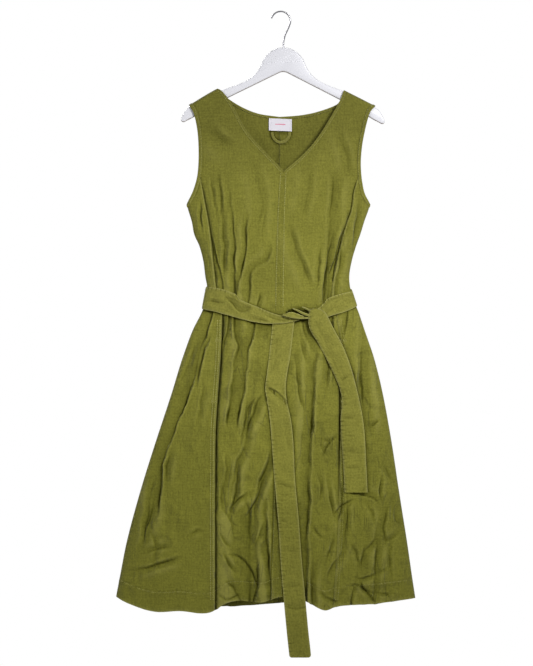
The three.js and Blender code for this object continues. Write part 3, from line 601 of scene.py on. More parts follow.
def crumple(x, z, side):
    """Height of crumples, which are facets that meet in ridges, and how finely the cloth is creased."""
    shift = 0 if side == "front" else 900
    facets = []
    for a, b in np.stack([x + shift, z], -1).reshape(-1, 2).tolist():
        bend = 16 * noise.noise((a / 40, b / 46, 3.1))
        wide = noise.noise(((a + bend) / 52, b / 120, 0.7))
        patch = min(max(noise.noise((a / 80, b / 64, 6.6)) * 2.6 + 0.55, 0.12), 1)
        large = noise.voronoi(((a + bend) / 36, (b + 0.5 * a - bend) / 52, 0.4))[0][0]
        small = noise.voronoi(((a - bend) / 16, (b - 0.4 * a + bend) / 24, 5.8))[0][0]
        facets.append(1.3 * wide + patch * (4.6 * large * large + 2.2 * small * small - 1.5))
    strength = read(crumpling, z)
    # the right of the hem is crumpled most
    many = 1 + 0.3 * ease((x - 20) / 70) * ease((-900 - z) / 120)
    # the middle of the bodice and the left side panel have few fine creases
    off_middle, on_side_panel = ease((np.abs(x) - 46) / 40), ease((line_x("side_front_left", z) - x) / 12)
    few = np.where(z > -610, off_middle, 1 - 0.8 * on_side_panel)
    return np.reshape(facets, x.shape) * (0.3 + strength[..., 0]) * many, strength[..., 1] * few


places = np.linspace(-200, 200, 6)
print("crumples near the hem, in mm:", crumple(places, 0 * places - 1200, "front")[0].round(1))

# %% [markdown]
# ## Seams, bands and the hem, as relief on the cloth
#
# A seam is a small valley, and its two sides are never level. Below the belt the side panels are pressed
# over the front ones, so their edges stand proud and throw a dark line, deepened with painted shade. The
# centre front has a raised band between two rows of stitches, and the hem is turned up 40 mm and stitched,
# which puckers the cloth.

# %% Relief of the seams
# height, how far the side panel's edge stands proud, and how deep the front panel lies beside it
seam_step = [(-330, 0.4, 1.5), (-460, 0.8, 4), (-590, 1, 4.5), (-660, 1.6, 5.5), (-900, 1.8, 5),
             (-1260, 1.8, 4.5)]
# height, and the places of the centre band's two stitch rows from the centre front seam
band_rows = [(-334, -6, 4.6), (-420, -8.2, 4.6), (-518, -7.6, 6.6), (-900, -9, 9), (-1260, -11, 10)]
hem_turn = 40                   # how much of the cloth is turned up


def seam_relief(side, x, z, under=False):
    """Height, shade and pucker that seams and hems give to places x, z."""
    height, shade, pucker = np.zeros_like(x), np.zeros_like(x), np.zeros_like(x)
    if side == "front":
        step = read(seam_step, z)
        for name, away in (("side_front_left", -1), ("side_front_right", 1)):
            distance = (x - line_x(name, z)) * away
            started = ease((lines[name][0][1] - z) / 30)
            # the right seam is pressed flat low in the skirt, and below the belt beside the pocket's mouth
            low_down, by_pocket = 0.8 * ease((-880 - z) / 160), 0.85 * ease((z + 712) / 20) * (z < -560)
            flat = 1 - (away > 0) * np.maximum(low_down, by_pocket)
            proud = flat * step[..., 0] * np.exp(-np.abs(distance) / 20) - 2.0 * near_line(distance, 1.6)
            sunk = flat * (-step[..., 1] * near_line(distance, 4.2) - 1.2 * np.exp(-np.abs(distance) / 16))
            groove = 0.35 * (near_line(distance - 4.5, 1.4) + near_line(distance - 9.5, 1.4))
            on_side = (distance > 0) & (not under)
            height += started * np.where(on_side, proud - groove, sunk)
            wide = 1.6 + ease((-600 - z) / 60)
            edge_line = 0.5 * near_line(distance, 1.3)
            valley = (0.42 + 0.24 * wide) * near_line(distance, wide)
            shade = np.maximum(shade, started * flat * np.where(on_side, edge_line, valley))
            pucker = np.maximum(pucker, np.where(on_side & (z < -650), near_line(distance - 5, 5), 0))
            pale = 0.3 * flat * started * on_side * (z < -640) * near_line(distance - 6, 4)
            shade = np.where(shade < 0.05, -pale, shade)
        rows = read(band_rows, z)
        offset = x - line_x("centre_front", z)
        below_v = ease((-336 - z) / 8)
        inside = ease((offset - rows[..., 0] + 2) / 2.5) * ease((rows[..., 1] + 2 - offset) / 2.5)
        groove = near_line(offset - rows[..., 0], 1.5) + near_line(offset - rows[..., 1], 1.5)
        in_skirt = ease((-640 - z) / 40)
        speckle = 0.5 + 0.5 * np.sin(z / 1.9 + 3 * np.sin(x / 2.3) + 2 * np.sin(z / 13))
        shade = np.where(shade < 0.05, shade - (0.28 + 0.32 * speckle) * below_v * inside, shade)
        height += below_v * ((0.15 + 0.55 * in_skirt) * inside - 0.3 * groove - 0.3 * near_line(offset, 1.2))
        left_of_band = near_line(offset - rows[..., 0] + 2.4, 1.4)
        shade = np.maximum(shade, below_v * (0.05 + 0.65 * in_skirt) * left_of_band)
        pucker = np.maximum(pucker, below_v * inside)
    else:
        offset = x - line_x("centre_back", z)
        height += -1.1 * near_line(offset, 1.8) + 0.5 * near_line(offset - 5, 4)
        shade = np.maximum(shade, 0.06 * near_line(offset, 1.4))
        pucker = np.maximum(pucker, near_line(offset, 5))
    up = z - read(hem_line[side], x) - hem_turn
    height += 0.5 * ease(-up / 3) - 0.7 * near_line(up, 2.2)
    height += 0.5 * np.sin(x / 3.1 + 2 * np.sin(x / 17)) * np.exp(-np.abs(up) / 9)
    shade = np.maximum(shade, 0.12 * near_line(up - 2.5, 1.4))
    dashed = ease(0.5 + 1.5 * np.sin(x / 1.7 + 1.2 * np.sin(x / 9)))
    shade = np.where(shade < 0.13, shade - 0.45 * near_line(up, 1.3) * dashed, shade)
    pucker = np.maximum(pucker, near_line(up, 7))
    return height, shade, pucker


def shade_inside_neck(x, z):
    """Shade of the label's lower edge and of the hanging loop, on the inner face of the back."""
    beneath = 0.9 * near_line(z + 249.6 + 0.04 * x, 2.4) * (np.abs(x + 1) < 24)
    from_loop = 21 * (np.hypot(x / 20, (z + 249) / 24) - 1)
    within_loop = 0.9 * near_line(from_loop + 4.5, 2.2) * ease((6 - x) / 10)
    return np.maximum(beneath, (z < -249) * np.maximum(within_loop, 0.6 * near_line(from_loop - 3.5, 1.6)))


# %% The finished surface of the cloth
belt_band = [(-170, -568, -626), (-94, -583, -644), (-33, -606, -658), (20, -622, -660), (60, -606, -650),
             (98, -592, -642), (165, -574, -617)]
belt_upper = [(-165, -573), (-134, -576.6), (-117, -581), (-94, -589.7), (-88, -598), (-65, -608),
              (-47, -616), (-27, -625), (-8, -631), (5, -632), (12, -626), (24, -621), (44, -617),
              (58, -618), (76, -615), (98, -598), (130, -588), (165, -581)]
belt_lower = {
    "front": [(-165, -619), (-126, -627), (-91, -636.5), (-65, -643.5), (-33, -650.5), (-6, -651.5),
              (15, -649.5), (30, -645.5), (40, -642), (59, -640), (76, -638), (98, -634), (130, -624),
              (165, -609)],
    "back": [(-165, -619), (0, -616), (130, -617), (165, -609)],
}


# height, and the left and right edges of each hanging end of the belt
tail_short_rows = [
    (-619.5, 66, 77, 7), (-621.5, 60, 84, 8), (-625, 58, 89.5, 9), (-630, 57.5, 94, 9), (-641, 57, 100, 9),
    (-653, 57.5, 106, 7.5), (-667, 62, 113, 6), (-693, 78, 127, 3), (-739, 102, 145, 1.6),
    (-783, 121, 157, 1.2), (-814, 127, 164, 1), (-846, 124, 170, 1), (-881, 125, 174, 1), (-940, 129, 177, 1),
    (-1001, 132, 180, 1)]
tail_long_rows = [
    (-646, -17, 28, 0.9), (-720, -25, 19, 0.9), (-760, -30, 12, 1), (-785, -33, 10, 1.4),
    (-810, -29, 12, 1.6),
    (-852, -23, 21, 1), (-900, -19, 26, 1), (-970, -14, 29, 1), (-1059, -6, 37, 1), (-1140, -1, 43, 1),
    (-1215, 5, 50, 1),
    (-1290, 12, 57, 1), (-1336, 17, 62, 1), (-1340, 18, 61, 1), (-1342, 21, 58, 1)]


def dusk_under_belt(side, x, z):
    """Shade on the cloth close beside the belt and its hanging ends."""
    below = read(belt_lower[side], x) - z - 1
    wide = np.where(x < 40, 0.6, 0.4) * np.exp(-np.maximum(below, 0) / np.where((x > -60) & (x < 30), 13, 7))
    narrow = np.exp(-((np.maximum(below, 0) / 4.2) ** 3))
    shade = np.where((below > -12) & (below < 30), np.maximum(narrow, wide), 0)
    if side == "front":
        above = z - read(belt_upper, x)
        close = ease((x + 92) / 45) * (1 - 0.6 * ease((x - 50) / 12)) * (above > -10)
        shade = np.maximum(shade, 0.75 * close * np.exp(-np.maximum(above, 0) / 2.6))
        for rows in (tail_short_rows, tail_long_rows):
            row = read(rows, z)
            here = ease((rows[1][0] - z) / 20) * (z > rows[-1][0])
            for k, soft in ((0, 2.6), (1, 3.0)):
                outside = (x - row[..., k]) * (1 if k else -1)
                beside_end = np.exp(-np.maximum(outside, 0) / soft) * (outside > -6)
                shade = np.maximum(shade, here * 0.85 * beside_end)
        # the short end stands off the skirt near the knot, so its left edge throws a wider shade there
        row = read(tail_short_rows, z)
        outside = row[..., 0] - x
        shade = np.maximum(shade, 0.75 * np.exp(-np.maximum(outside, 0) / 6) * (outside > -6)
                           * ease((-640 - z) / 12) * ease((z + 722) / 30))
        end_z, end_left, end_right = tail_short_rows[-1][:3]
        beneath = end_z - z
        under_end = (beneath > -4) & (x > end_left) & (x < end_right)
        shade = np.maximum(shade, 0.8 * np.exp(-np.maximum(beneath, 0) / 2.6) * under_end)
    return shade


def relief(side, angle, z, under=False):
    """Height, shade, pucker and fineness of creases at places on a skin, from all that shapes the cloth.

    under is for the part of a front panel that lies beneath the side panel's edge."""
    x = bare_skin(side, angle, z)[..., 0]
    folds, shade = all_folds(x, z, front_folds if side == "front" else back_folds)
    small, crush = crumple(x, z, side)
    seams, seam_shade, pucker = seam_relief(side, x, z, under)
    below = read(shoulder_line, x) - z
    calm = np.clip(2.2 * np.cos(angle), 0, 1) * ease((below - 8) / 50)
    height = (folds + small) * calm + seams * np.clip(3 * np.cos(angle), 0, 1) * ease((below - 8) / 20)
    belt = read(belt_band, x) if side == "front" else np.stack([-566 + 0 * x, -622 + 0 * x], -1)
    pressed = ease((belt[..., 0] - z) / 12 + 1) * ease((z - belt[..., 1]) / 12 + 1)
    height = np.where(height > 0, height * (1 - pressed), height)
    groove, groove_shade = band_grooves(side, x, z)
    dark = np.maximum(groove_shade, dusk_under_belt(side, x, z))
    shade = np.maximum(np.maximum(shade * calm, seam_shade), dark)
    # a shade below 0 paints the cloth paler: painted highlight on the rolls beside the folds, and paler lines
    # along the stitched seams and the hem
    pale = np.clip(folds * calm / 6, 0, 0.5) + np.clip(-seam_shade, 0, 1)
    shade = shade - pale * (1 - np.clip(shade, 0, 1))
    return height + groove, shade, pucker, crush * calm


def cloth_at(side, angle, z, lift=0.0):
    """Places on the outer face of the finished cloth, or off it by a lift, in millimetres."""
    height = relief(side, angle, z)[0]
    return bare_skin(side, angle, z) + outward(side, angle, z) * (height + lift)[..., None]


heights = relief("front", np.radians([-60.0, -30, 0, 30, 60]), np.full(5, -900.0))[0]
print("relief across the skirt, in mm:", heights.round(1))


# %% [markdown]
# ## The linen
#
# The cloth is a plain weave of linen, dyed olive after weaving. Close up it shows crossing threads. From a
# few steps away it shows the thicker slubs in them and a slightly cloudy colour. Light and shade are painted
# into its colour too: painted highlight on raised rolls, edges painted pale as wear and as painted
# highlight, and painted shade in folds and creases and towards the hem and the shoulders. Image textures
# could show this, but nodes keep the weave at its true size on every piece. The pattern reads each piece's
# own map, which is in metres along the cloth, so its threads follow the folds.

# %% Linen from nodes
def linen(name, dark, light, hem_tone=1.0, wear_and_highlight=0.35):
    """Linen between a dark and a light tone. hem_tone lightens the painted shade towards its hem, and
    wear_and_highlight sets how pale its edges are painted, as wear and as painted highlight.
    """
    material, tree, shader = new_material(
        name, 0.82, Sheen_Weight=0.22, Sheen_Roughness=0.45, Specular_IOR_Level=0.25)
    place = add_node(tree, "ShaderNodeTexCoord").outputs["Object"]
    cloth_map = add_node(tree, "ShaderNodeUVMap", {"uv_map": "cloth"}).outputs["UV"]
    apart = add_node(tree, "ShaderNodeSeparateXYZ", Vector=cloth_map)
    u, v = apart.outputs["X"], apart.outputs["Y"]

    def times(first, second):
        return calculate(tree, "MULTIPLY", first, second)

    def plus(first, second):
        return calculate(tree, "ADD", first, second)

    def marked(attribute):
        return add_node(tree, "ShaderNodeAttribute", {"attribute_name": attribute}).outputs["Fac"]

    def from_zero(value, reach):
        """1 where a value is 0, falling to 0 where it is as large as reach."""
        return add_node(tree, "ShaderNodeMapRange", {"interpolation_type": "SMOOTHSTEP"}, Value=value,
                        i1=0.0, i2=reach, i3=1.0, i4=0.0).outputs[0]

    def between(value, start, end, kind="LINEAR"):
        """0 where a value is at start, rising to 1 where it is at end."""
        return add_node(tree, "ShaderNodeMapRange", {"interpolation_type": kind}, Value=value,
                        i1=start, i2=end, i3=0.0, i4=1.0).outputs[0]

    def stretched(scale_u, scale_v, detail, rough=0.55):
        """Noise with its own number of spots to the metre across the cloth and along it."""
        spot = add_node(tree, "ShaderNodeCombineXYZ", X=times(u, scale_u), Y=times(v, scale_v)).outputs[0]
        return add_node(tree, "ShaderNodeTexNoise", Vector=spot, Scale=1.0, Detail=detail,
                        Roughness=rough).outputs["Fac"]

    def patchy(scale_u, scale_v, start, end):
        return between(stretched(scale_u, scale_v, 2), start, end)

    def creases(scale_u, scale_v, lean):
        """Sharp broken lines where the facets of a crumple meet."""
        bent = times(stretched(22, 18, 2), 1.5)
        spot = add_node(tree, "ShaderNodeCombineXYZ", X=plus(times(u, scale_u), bent),
                        Y=plus(times(v, scale_v), times(u, lean)))
        cells = add_node(tree, "ShaderNodeTexVoronoi", {"feature": "DISTANCE_TO_EDGE"},
                         Vector=spot.outputs[0], Scale=1.0)
        return from_zero(cells.outputs["Distance"], 0.09)

    # threads: a raised spot wherever one comes over another, 1.6 to the millimetre across and 1.5 along
    across = calculate(tree, "SINE", times(u, 1600 * math.pi))
    along = calculate(tree, "SINE", times(v, 1500 * math.pi))
    weave = times(across, along)
    slubs = plus(stretched(330, 38, 3), stretched(30, 300, 3))
    grain = stretched(260, 230, 4, 0.75)

    # fine creases, whose lines get painted shade: long ones that run down the cloth, crumples, and
    # smaller crumples
    ridge = calculate(tree, "ABSOLUTE", calculate(tree, "SUBTRACT", stretched(46, 8, 1), 0.5))
    long_ones = times(from_zero(ridge, 0.022), patchy(21, 14, 0.46, 0.60))
    crumpled = times(creases(19, 11, 6), patchy(24, 26, 0.48, 0.64))
    finely = times(creases(44, 26, -10), patchy(34, 24, 0.52, 0.68))
    shaded_crease_lines = calculate(tree, "MAXIMUM", crumpled, times(finely, 0.8))
    shaded_crease_lines = calculate(tree, "MAXIMUM", long_ones, shaded_crease_lines)
    shaded_crease_lines = times(shaded_crease_lines, marked("crush"))
    cloudy = add_node(tree, "ShaderNodeTexNoise", Vector=place, Scale=9.0, Detail=6.0,
                      Roughness=0.6).outputs["Fac"]
    creased = add_node(tree, "ShaderNodeTexNoise", {"noise_type": "RIDGED_MULTIFRACTAL"}, Vector=place,
                       Scale=42.0, Detail=3.0, Roughness=0.5).outputs["Fac"]

    tone = plus(plus(times(cloudy, 0.5), times(grain, 1.35)), times(slubs, 0.5))
    colour = blend_colours(tree, between(tone, 0.93, 1.93), dark, light)
    # painted shade: the colour is deeper towards the hem and towards the shoulders, where less light falls
    height = add_node(tree, "ShaderNodeSeparateXYZ", Vector=place).outputs["Z"]
    shade_at_hem = tuple(c * hem_tone for c in (0.91, 0.92, 0.77)) + (1,)
    shade_at_shoulder = (0.82, 0.81, 0.84, 1)
    for start, end, tint in ((-0.6, -1.06, shade_at_hem), (-0.44, -0.22, shade_at_shoulder)):
        tinted = blend_colours(tree, 1.0, colour, tint, "MULTIPLY")
        colour = blend_colours(tree, between(height, start, end, "SMOOTHSTEP"), colour, tinted)
    # painted light and shade: a shade below 0 paints the cloth paler, then come edges painted pale, as wear
    # and as painted highlight, painted shade along the lines of creases, and the painted shade of folds
    shade = marked("shade")
    colour = blend_colours(tree, times(shade, -0.7), colour, srgb(166, 162, 78))
    colour = blend_colours(tree, times(marked("edge"), wear_and_highlight), colour, srgb(176, 172, 104))
    colour = blend_colours(tree, times(shaded_crease_lines, 0.24), colour, srgb(40, 42, 8))
    colour = blend_colours(tree, times(shade, 0.92), colour, srgb(34, 35, 2))
    tree.links.new(colour, shader.inputs["Base Color"])
    # where shade is painted, at the bottom of a fold, the cloth has neither sheen nor gloss
    open_cloth = calculate(tree, "SUBTRACT", 1.0, times(shade, 1.1))
    tree.links.new(times(open_cloth, 0.2), shader.inputs["Sheen Weight"])
    tree.links.new(times(open_cloth, 0.22), shader.inputs["Specular IOR Level"])

    puckered = times(times(stretched(260, 520, 1), marked("pucker")), 3.0)
    rough = plus(times(weave, 0.05), times(slubs, 0.5))
    for part in (times(grain, 0.6), times(creased, 0.6), puckered):
        rough = plus(rough, part)
    rough = calculate(tree, "SUBTRACT", rough, times(shaded_crease_lines, 1.1))
    bump = add_node(tree, "ShaderNodeBump", Height=rough, Strength=0.85, Distance=0.0011)
    tree.links.new(bump.outputs[0], shader.inputs["Normal"])
    return material


panel_linen = linen("olive_linen", srgb(88, 87, 20), srgb(150, 148, 58))
belt_linen = linen("olive_linen_belt", srgb(96, 94, 28), srgb(158, 155, 68), hem_tone=1.02, wear_and_highlight=0.6)
inner_linen = linen("olive_linen_inside", srgb(90, 88, 24), srgb(146, 142, 60))
print(len(panel_linen.node_tree.nodes), "nodes make the linen")

# %% Thread
thread, tree, shader = new_material("olive_thread", 0.6, Sheen_Weight=0.3)
twist = add_node(tree, "ShaderNodeTexNoise", Scale=900.0, Detail=2.0,
                 Vector=add_node(tree, "ShaderNodeTexCoord").outputs["Object"])
tree.links.new(blend_colours(tree, twist.outputs["Fac"], srgb(160, 157, 76), srgb(186, 183, 102)),
               shader.inputs["Base Color"])
bump = add_node(tree, "ShaderNodeBump", Height=twist.outputs["Fac"], Strength=0.5, Distance=0.0002)
tree.links.new(bump.outputs[0], shader.inputs["Normal"])


# %% [markdown]
# ## Turning rows of points into pieces
#
# A panel is a grid of points, with columns that run down the cloth and a row for each level. Solidify
# then gives it the thickness of the linen, twice that where the hem is turned up. Smaller strips, bands and
# belt pieces are closed rings of points, joined into a sleeve with closed ends.

# %% Mesh builders
def new_mesh(name, points, faces, uv, material, **attributes):
    """A mesh object from points in millimetres, with a map in metres.

    Each attribute holds a number for every point. One that isn't given has its usual value."""
    mesh = bpy.data.meshes.new(name)
    mesh.from_pydata((np.asarray(points) * MM).tolist(), [], np.asarray(faces).tolist())
    corner = np.empty(len(mesh.loops), np.int32)
    mesh.loops.foreach_get("vertex_index", corner)
    cloth_map = mesh.uv_layers.new(name="cloth")
    cloth_map.data.foreach_set("uv", np.asarray(uv, np.float32)[corner].ravel())
    for key, usual in (("shade", 0), ("pucker", 0), ("edge", 0), ("crush", 0.3)):
        values = np.asarray(attributes.get(key, np.full(len(points), usual)), np.float32).ravel()
        mesh.attributes.new(key, "FLOAT", "POINT").data.foreach_set("value", values)
    mesh.materials.append(material)
    mesh.shade_smooth()
    piece = bpy.data.objects.new(name, mesh)
    scene.collection.objects.link(piece)
    return piece


def bake_modifiers(piece):
    """Makes what the modifiers show into the piece's own mesh."""
    depsgraph = bpy.context.evaluated_depsgraph_get()
    finished = bpy.data.meshes.new_from_object(piece.evaluated_get(depsgraph), depsgraph=depsgraph)
    piece.modifiers.clear()
    piece.data = finished
    finished.set_sharp_from_angle(angle=math.radians(62))
    return piece


def grid_faces(rows, columns, loop=False):
    """Faces between rows of points. In a loop, the last point of a row joins the first."""
    i, j = np.meshgrid(np.arange(rows - 1), np.arange(columns if loop else columns - 1), indexing="ij")
    near, far = j, (j + 1) % columns
    row, next_row = i * columns, (i + 1) * columns
    return np.stack([row + near, row + far, next_row + far, next_row + near], -1).reshape(-1, 4)


def sleeve(name, rings, uv, material, **attributes):
    """A closed piece from rings of points, each ring going round the outside and back on the inside."""
    rows, around = rings.shape[:2]
    faces = grid_faces(rows, around, loop=True).tolist()
    half = around // 2
    for end, start in ((0, 0), (rows - 1, (rows - 1) * around)):
        for j in range(half - 1):
            quad = [start + j, start + j + 1, start + around - 2 - j, start + around - 1 - j]
            faces.append(quad[::-1] if end else quad)
    piece = new_mesh(name, rings.reshape(-1, 3), faces, uv.reshape(-1, 2), material, **attributes)
    mesh = piece.data
    place = np.array([v.co for v in mesh.vertices])
    triangles = [(p.vertices[0], p.vertices[k], p.vertices[k + 1])
                 for p in mesh.polygons for k in range(1, len(p.vertices) - 1)]
    volume = sum(np.dot(place[a], np.cross(place[b], place[c])) for a, b, c in triangles)
    if volume < 0:
        mesh.flip_normals()
    mesh.set_sharp_from_angle(angle=math.radians(62))
    return piece


def report(piece):
    faces = piece.data.polygons
    triangles, area = sum(len(p.vertices) - 2 for p in faces), sum(p.area for p in faces) / 2
    print(f"{piece.name}: {triangles} triangles, one layer {area:.3f} m2")


# %% [markdown]
# ## The six panels
#
# The front is cut as two centre panels that reach the shoulder and two side panels that start in the
# armhole. The back is two panels, joined down the middle. Each is a sheet, closed to a thin solid.

# %% Cut and hang a panel
side_seam_top = -344            # where the side-front seams leave the armholes
levels = np.unique(np.concatenate([
    np.linspace(-2, -1, 86), np.linspace(-1, 0, 190), np.linspace(0, 0.96, 66), np.linspace(0.96, 1, 9)]))


def run_from_middle(places):
    """How far each place of a row is, along the row, from where the row crosses the middle of the body."""
    steps = np.linalg.norm(np.diff(places[..., :2], axis=1), axis=-1)
    run = np.concatenate([np.zeros((len(places), 1)), np.cumsum(steps, 1)], 1)
    zero = []
    for row_x, row_run in zip(places[..., 0], run):
        nearest = np.abs(row_x).argmin()
        crosses = row_x[0] < 0 < row_x[-1]
        zero.append(np.interp(0, row_x, row_run) if crosses else row_run[nearest] - row_x[nearest])
    return run - np.array(zero)[:, None]


def panel(name, side, columns, left, right, top=1.0, tuck=(0, 0)):
    """tuck is how far, in mm, the left and right edges reach on under the next panel."""
    level = levels[levels <= top]
    start, end = boundary(side, level, left), boundary(side, level, right)
    half = middle_and_half(height_of(level, 0 * level, side))[1]
    # the edge reaches under the side panel, from where that one starts
    hidden = ease((0.24 - level) / 0.04)
    start, end = start - tuck[0] * hidden / half, end + tuck[1] * hidden / half
    share = np.linspace(0, 1, columns + 1)
    # columns lie closer together near the seams, where the relief is sharpest
    share = 0.65 * share + 0.35 * (0.5 - 0.5 * np.cos(math.pi * share))
    angle = start[:, None] + (end - start)[:, None] * share
    angle = np.clip(angle, -half_turn, half_turn)
    z = height_at_angle(level[:, None] + 0 * angle, angle, side)
    smooth = bare_skin(side, angle, z)
    x = smooth[..., 0]
    height, shade, pucker, crush = relief(side, angle, z)
    if any(tuck):
        beyond = (x < line_x("side_front_left", z)) if tuck[0] else (x > line_x("side_front_right", z))
        beyond &= z < side_seam_top
        low, dark = relief(side, angle, z, under=True)[:2]
        height, shade = np.where(beyond, low - 1.0, height), np.where(beyond, dark, shade)
    points = smooth + outward(side, angle, z) * height[..., None]
    uv = np.stack([run_from_middle(smooth), z], -1) * MM
    up = z - read(hem_line[side], x)
    # pale edges, as wear and painted highlight: the hem's fold, and a side panel's edge beside its seam
    edge = np.exp(-up / 2.5)
    if side == "front" and not any(tuck):
        seam = line_x("side_front_left" if name.endswith("left") else "side_front_right", z)
        edge = np.maximum(edge, 0.7 * near_line(np.abs(x - seam) - 1.5, 1.6))
    faces = grid_faces(len(level), columns + 1)
    if side == "back":
        faces = faces[:, ::-1]
    piece = new_mesh(name + "_cloth", points.reshape(-1, 3), faces, uv.reshape(-1, 2), panel_linen,
                     shade=shade, pucker=pucker, edge=edge, crush=crush)
    turned = piece.vertex_groups.new(name="turned_hem")
    for i in np.flatnonzero((up < hem_turn).ravel()).tolist():
        turned.add([i], 1.0, "REPLACE")
    thick = piece.modifiers.new("thickness", "SOLIDIFY")
    thick.thickness, thick.offset = 2 * wall * MM, -1
    thick.vertex_group, thick.thickness_vertex_group = "turned_hem", 0.5
    bake_modifiers(piece)
    if side == "back":
        # Solidify puts the inner face's points after the outer face's, in the same order
        layer = piece.data.attributes["shade"].data
        values = np.empty(len(layer), np.float32)
        layer.foreach_get("value", values)
        inner = values[z.size:2 * z.size]
        inner[:] = np.maximum(inner, shade_inside_neck(x, z).ravel())
        layer.foreach_set("value", values)
    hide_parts(name)
    report(piece)
    return piece


# %% The panels
under_seam = 4                  # how far a front panel reaches on beneath its side panel
side_top = 0.25                 # the level at which the side panels start in the armholes

front_left = panel("front_left", "front", 104, ["armhole_left", "side_front_left"],
                   ["neck_left", "centre_front"], tuck=(under_seam, 0))
front_right = panel("front_right", "front", 100, ["neck_right", "centre_front"],
                    ["armhole_right", "side_front_right"], tuck=(0, under_seam))
side_front_left = panel("side_front_left", "front", 116, ["armhole_left", "side_seam_left"],
                        ["side_front_left"], top=side_top)
side_front_right = panel("side_front_right", "front", 100, ["side_front_right"],
                         ["armhole_right", "side_seam_right"], top=side_top)
back_left = panel("back_left", "back", 70, ["armhole_left", "side_seam_left"],
                  ["back_neck_left", "centre_back"])
back_right = panel("back_right", "back", 62, ["back_neck_right", "centre_back"],
                   ["armhole_right", "side_seam_right"])
panels = [front_left, front_right, side_front_left, side_front_right, back_left, back_right]

# %% [markdown]
# ## Bands at the neck and the armholes
#
# The armholes are bound with a strip 7 mm wide that goes right round, and the neck has a slightly narrower
# one. Each is its own narrow piece of linen, folded and sewn flat on the edge, so it lies on the panel and
# follows its folds. Laying it on the finished surface keeps it in touch with the cloth all along.

# %% A strip along a cut edge
def for_each_side(sides, work, angle, z, *more):
    """Calls work(side, angle, z, ...) for the front places and for the back ones, and joins the answers."""
    found = np.empty(angle.shape + (3,))
    for side in ("front", "back"):
        here = sides == side
        if here.any():
            found[here] = work(side, angle[here], z[here], *(m[here] for m in more))
    return found


strip_points = 7                # points across the outer face of a strip


def edge_strip(node, stations, width, turn, inside=False, loop=False, rolled=False):
    """A strip of linen sewn flat along a cut edge, on the side of it that turn points to.

    stations are rows of side, angle, height and whether the row lies between front and back."""
    sides = np.array([s[0] for s in stations])
    angle, z = np.array([s[1] for s in stations]), np.array([s[2] for s in stations])
    middle = np.array([s[3] for s in stations])
    places = for_each_side(sides, bare_skin, angle, z)
    along = np.roll(places, -1, 0) - np.roll(places, 1, 0)
    if not loop:
        along[0], along[-1] = places[1] - places[0], places[-1] - places[-2]
    across = np.cross(for_each_side(sides, outward, angle, z), along)
    across *= width * turn / np.linalg.norm(across, axis=1, keepdims=True)
    share = np.linspace(-0.06, 1, strip_points)
    x = places[:, :1] + across[:, :1] * share
    height = np.minimum(places[:, 2:] + across[:, 2:] * share, read(shoulder_line, x) - 0.05)
    spots = angle_at(x, height)
    wide = np.repeat(sides[:, None], strip_points, 1)
    round_edge = np.sqrt(np.clip(1 - np.abs(2 * share - 0.94) ** 6, 0, 1))
    base = -wall - 0.15 if inside else 0.1
    if rolled:
        # pressed flat, with only its cut edge rolled over
        round_edge = 0.7 * np.exp(-np.maximum(share, 0) * width / 1.2) - 0.12
    thick = (0.35 + 0.75 * round_edge) * (-1 if inside else 1)
    lower = for_each_side(wide, cloth_at, spots, height, np.full_like(x, base))
    upper = for_each_side(wide, cloth_at, spots, height, np.broadcast_to(base + thick, x.shape))
    lower[middle, :, 1] = upper[middle, :, 1] = 0
    rings = np.concatenate([upper, lower[:, ::-1]], 1)
    run = np.concatenate([[0], np.cumsum(np.linalg.norm(np.diff(places, axis=0), axis=1))])
    around = np.concatenate([share, share[::-1]]) * width
    uv = np.stack(np.broadcast_arrays(around[None, :], run[:, None]), -1) * MM
    if loop:
        rings, uv = np.concatenate([rings, rings[:1]]), np.concatenate([uv, uv[-1:]])
    # the strip's two edges are painted pale, as wear and as painted highlight
    edge = np.tile([0.9] + [0.15] * (strip_points - 2) + [0.7] + [0.1] * strip_points, (len(rings), 1))
    piece = sleeve(node + "_cloth", rings, uv, panel_linen, edge=edge, pucker=0.6 + 0 * edge)
    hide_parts(node)
    report(piece)
    return piece


def stations_on(line_name, side, level):
    level = np.array(level, float)
    angle = boundary(side, level, [line_name])
    z = height_at_angle(level, angle, side)
    return [(side, a, h, False) for a, h in zip(angle.tolist(), z.tolist())]


# %% The bindings and the neck bands
binding_width, neck_band_width = 7, 5.5


def armhole_binding(name, line_name, side_angle, turn):
    up = [*np.linspace(0.012, 0.985, 90), 0.994]
    over = stations_on(line_name, "front", [1.0])[0][:3] + (True,)
    stations = [("front", side_angle, underarm_z, True), *stations_on(line_name, "front", up), over,
                *stations_on(line_name, "back", up)[::-1]]
    return edge_strip(name, stations, binding_width, turn, loop=True)


binding_left = armhole_binding("armhole_binding_left", "armhole_left", -half_turn, -1)
binding_right = armhole_binding("armhole_binding_right", "armhole_right", half_turn, 1)

front_levels = [*np.linspace(0.222, 0.985, 84), 0.994]
back_levels = np.linspace(0.598, 0.96, 46)
band_left = edge_strip("neck_band_front_left", stations_on("neck_left", "front", front_levels),
                       neck_band_width, 1, rolled=True)
band_right = edge_strip("neck_band_front_right", stations_on("neck_right", "front", front_levels),
                        neck_band_width, -1, rolled=True)
behind = [*stations_on("back_neck_left", "back", back_levels)[::-1],
          *stations_on("back_neck_right", "back", back_levels)]
band_back = edge_strip("neck_band_back", behind, neck_band_width, 1, inside=True)
bands = [binding_left, binding_right, band_left, band_right, band_back]

# %% [markdown]
# ## The belt
#
# The belt is one long strip of double linen, sewn into a tube and turned, so its edges are round and soft.
# It goes once round the waist, and its ends cross in a half knot whose short end is laid over the long one.
# Stretched flat on the cloth it would look like card. So each stretch has its own folds, an edge that waves
# a little, and a lift off the cloth beneath. The knot is four short strands over a fifth, which is painted
# dark all over as painted shade in the knot's hollow.

# %% A ribbon of double cloth
belt_wall = 1.8                 # two layers of linen


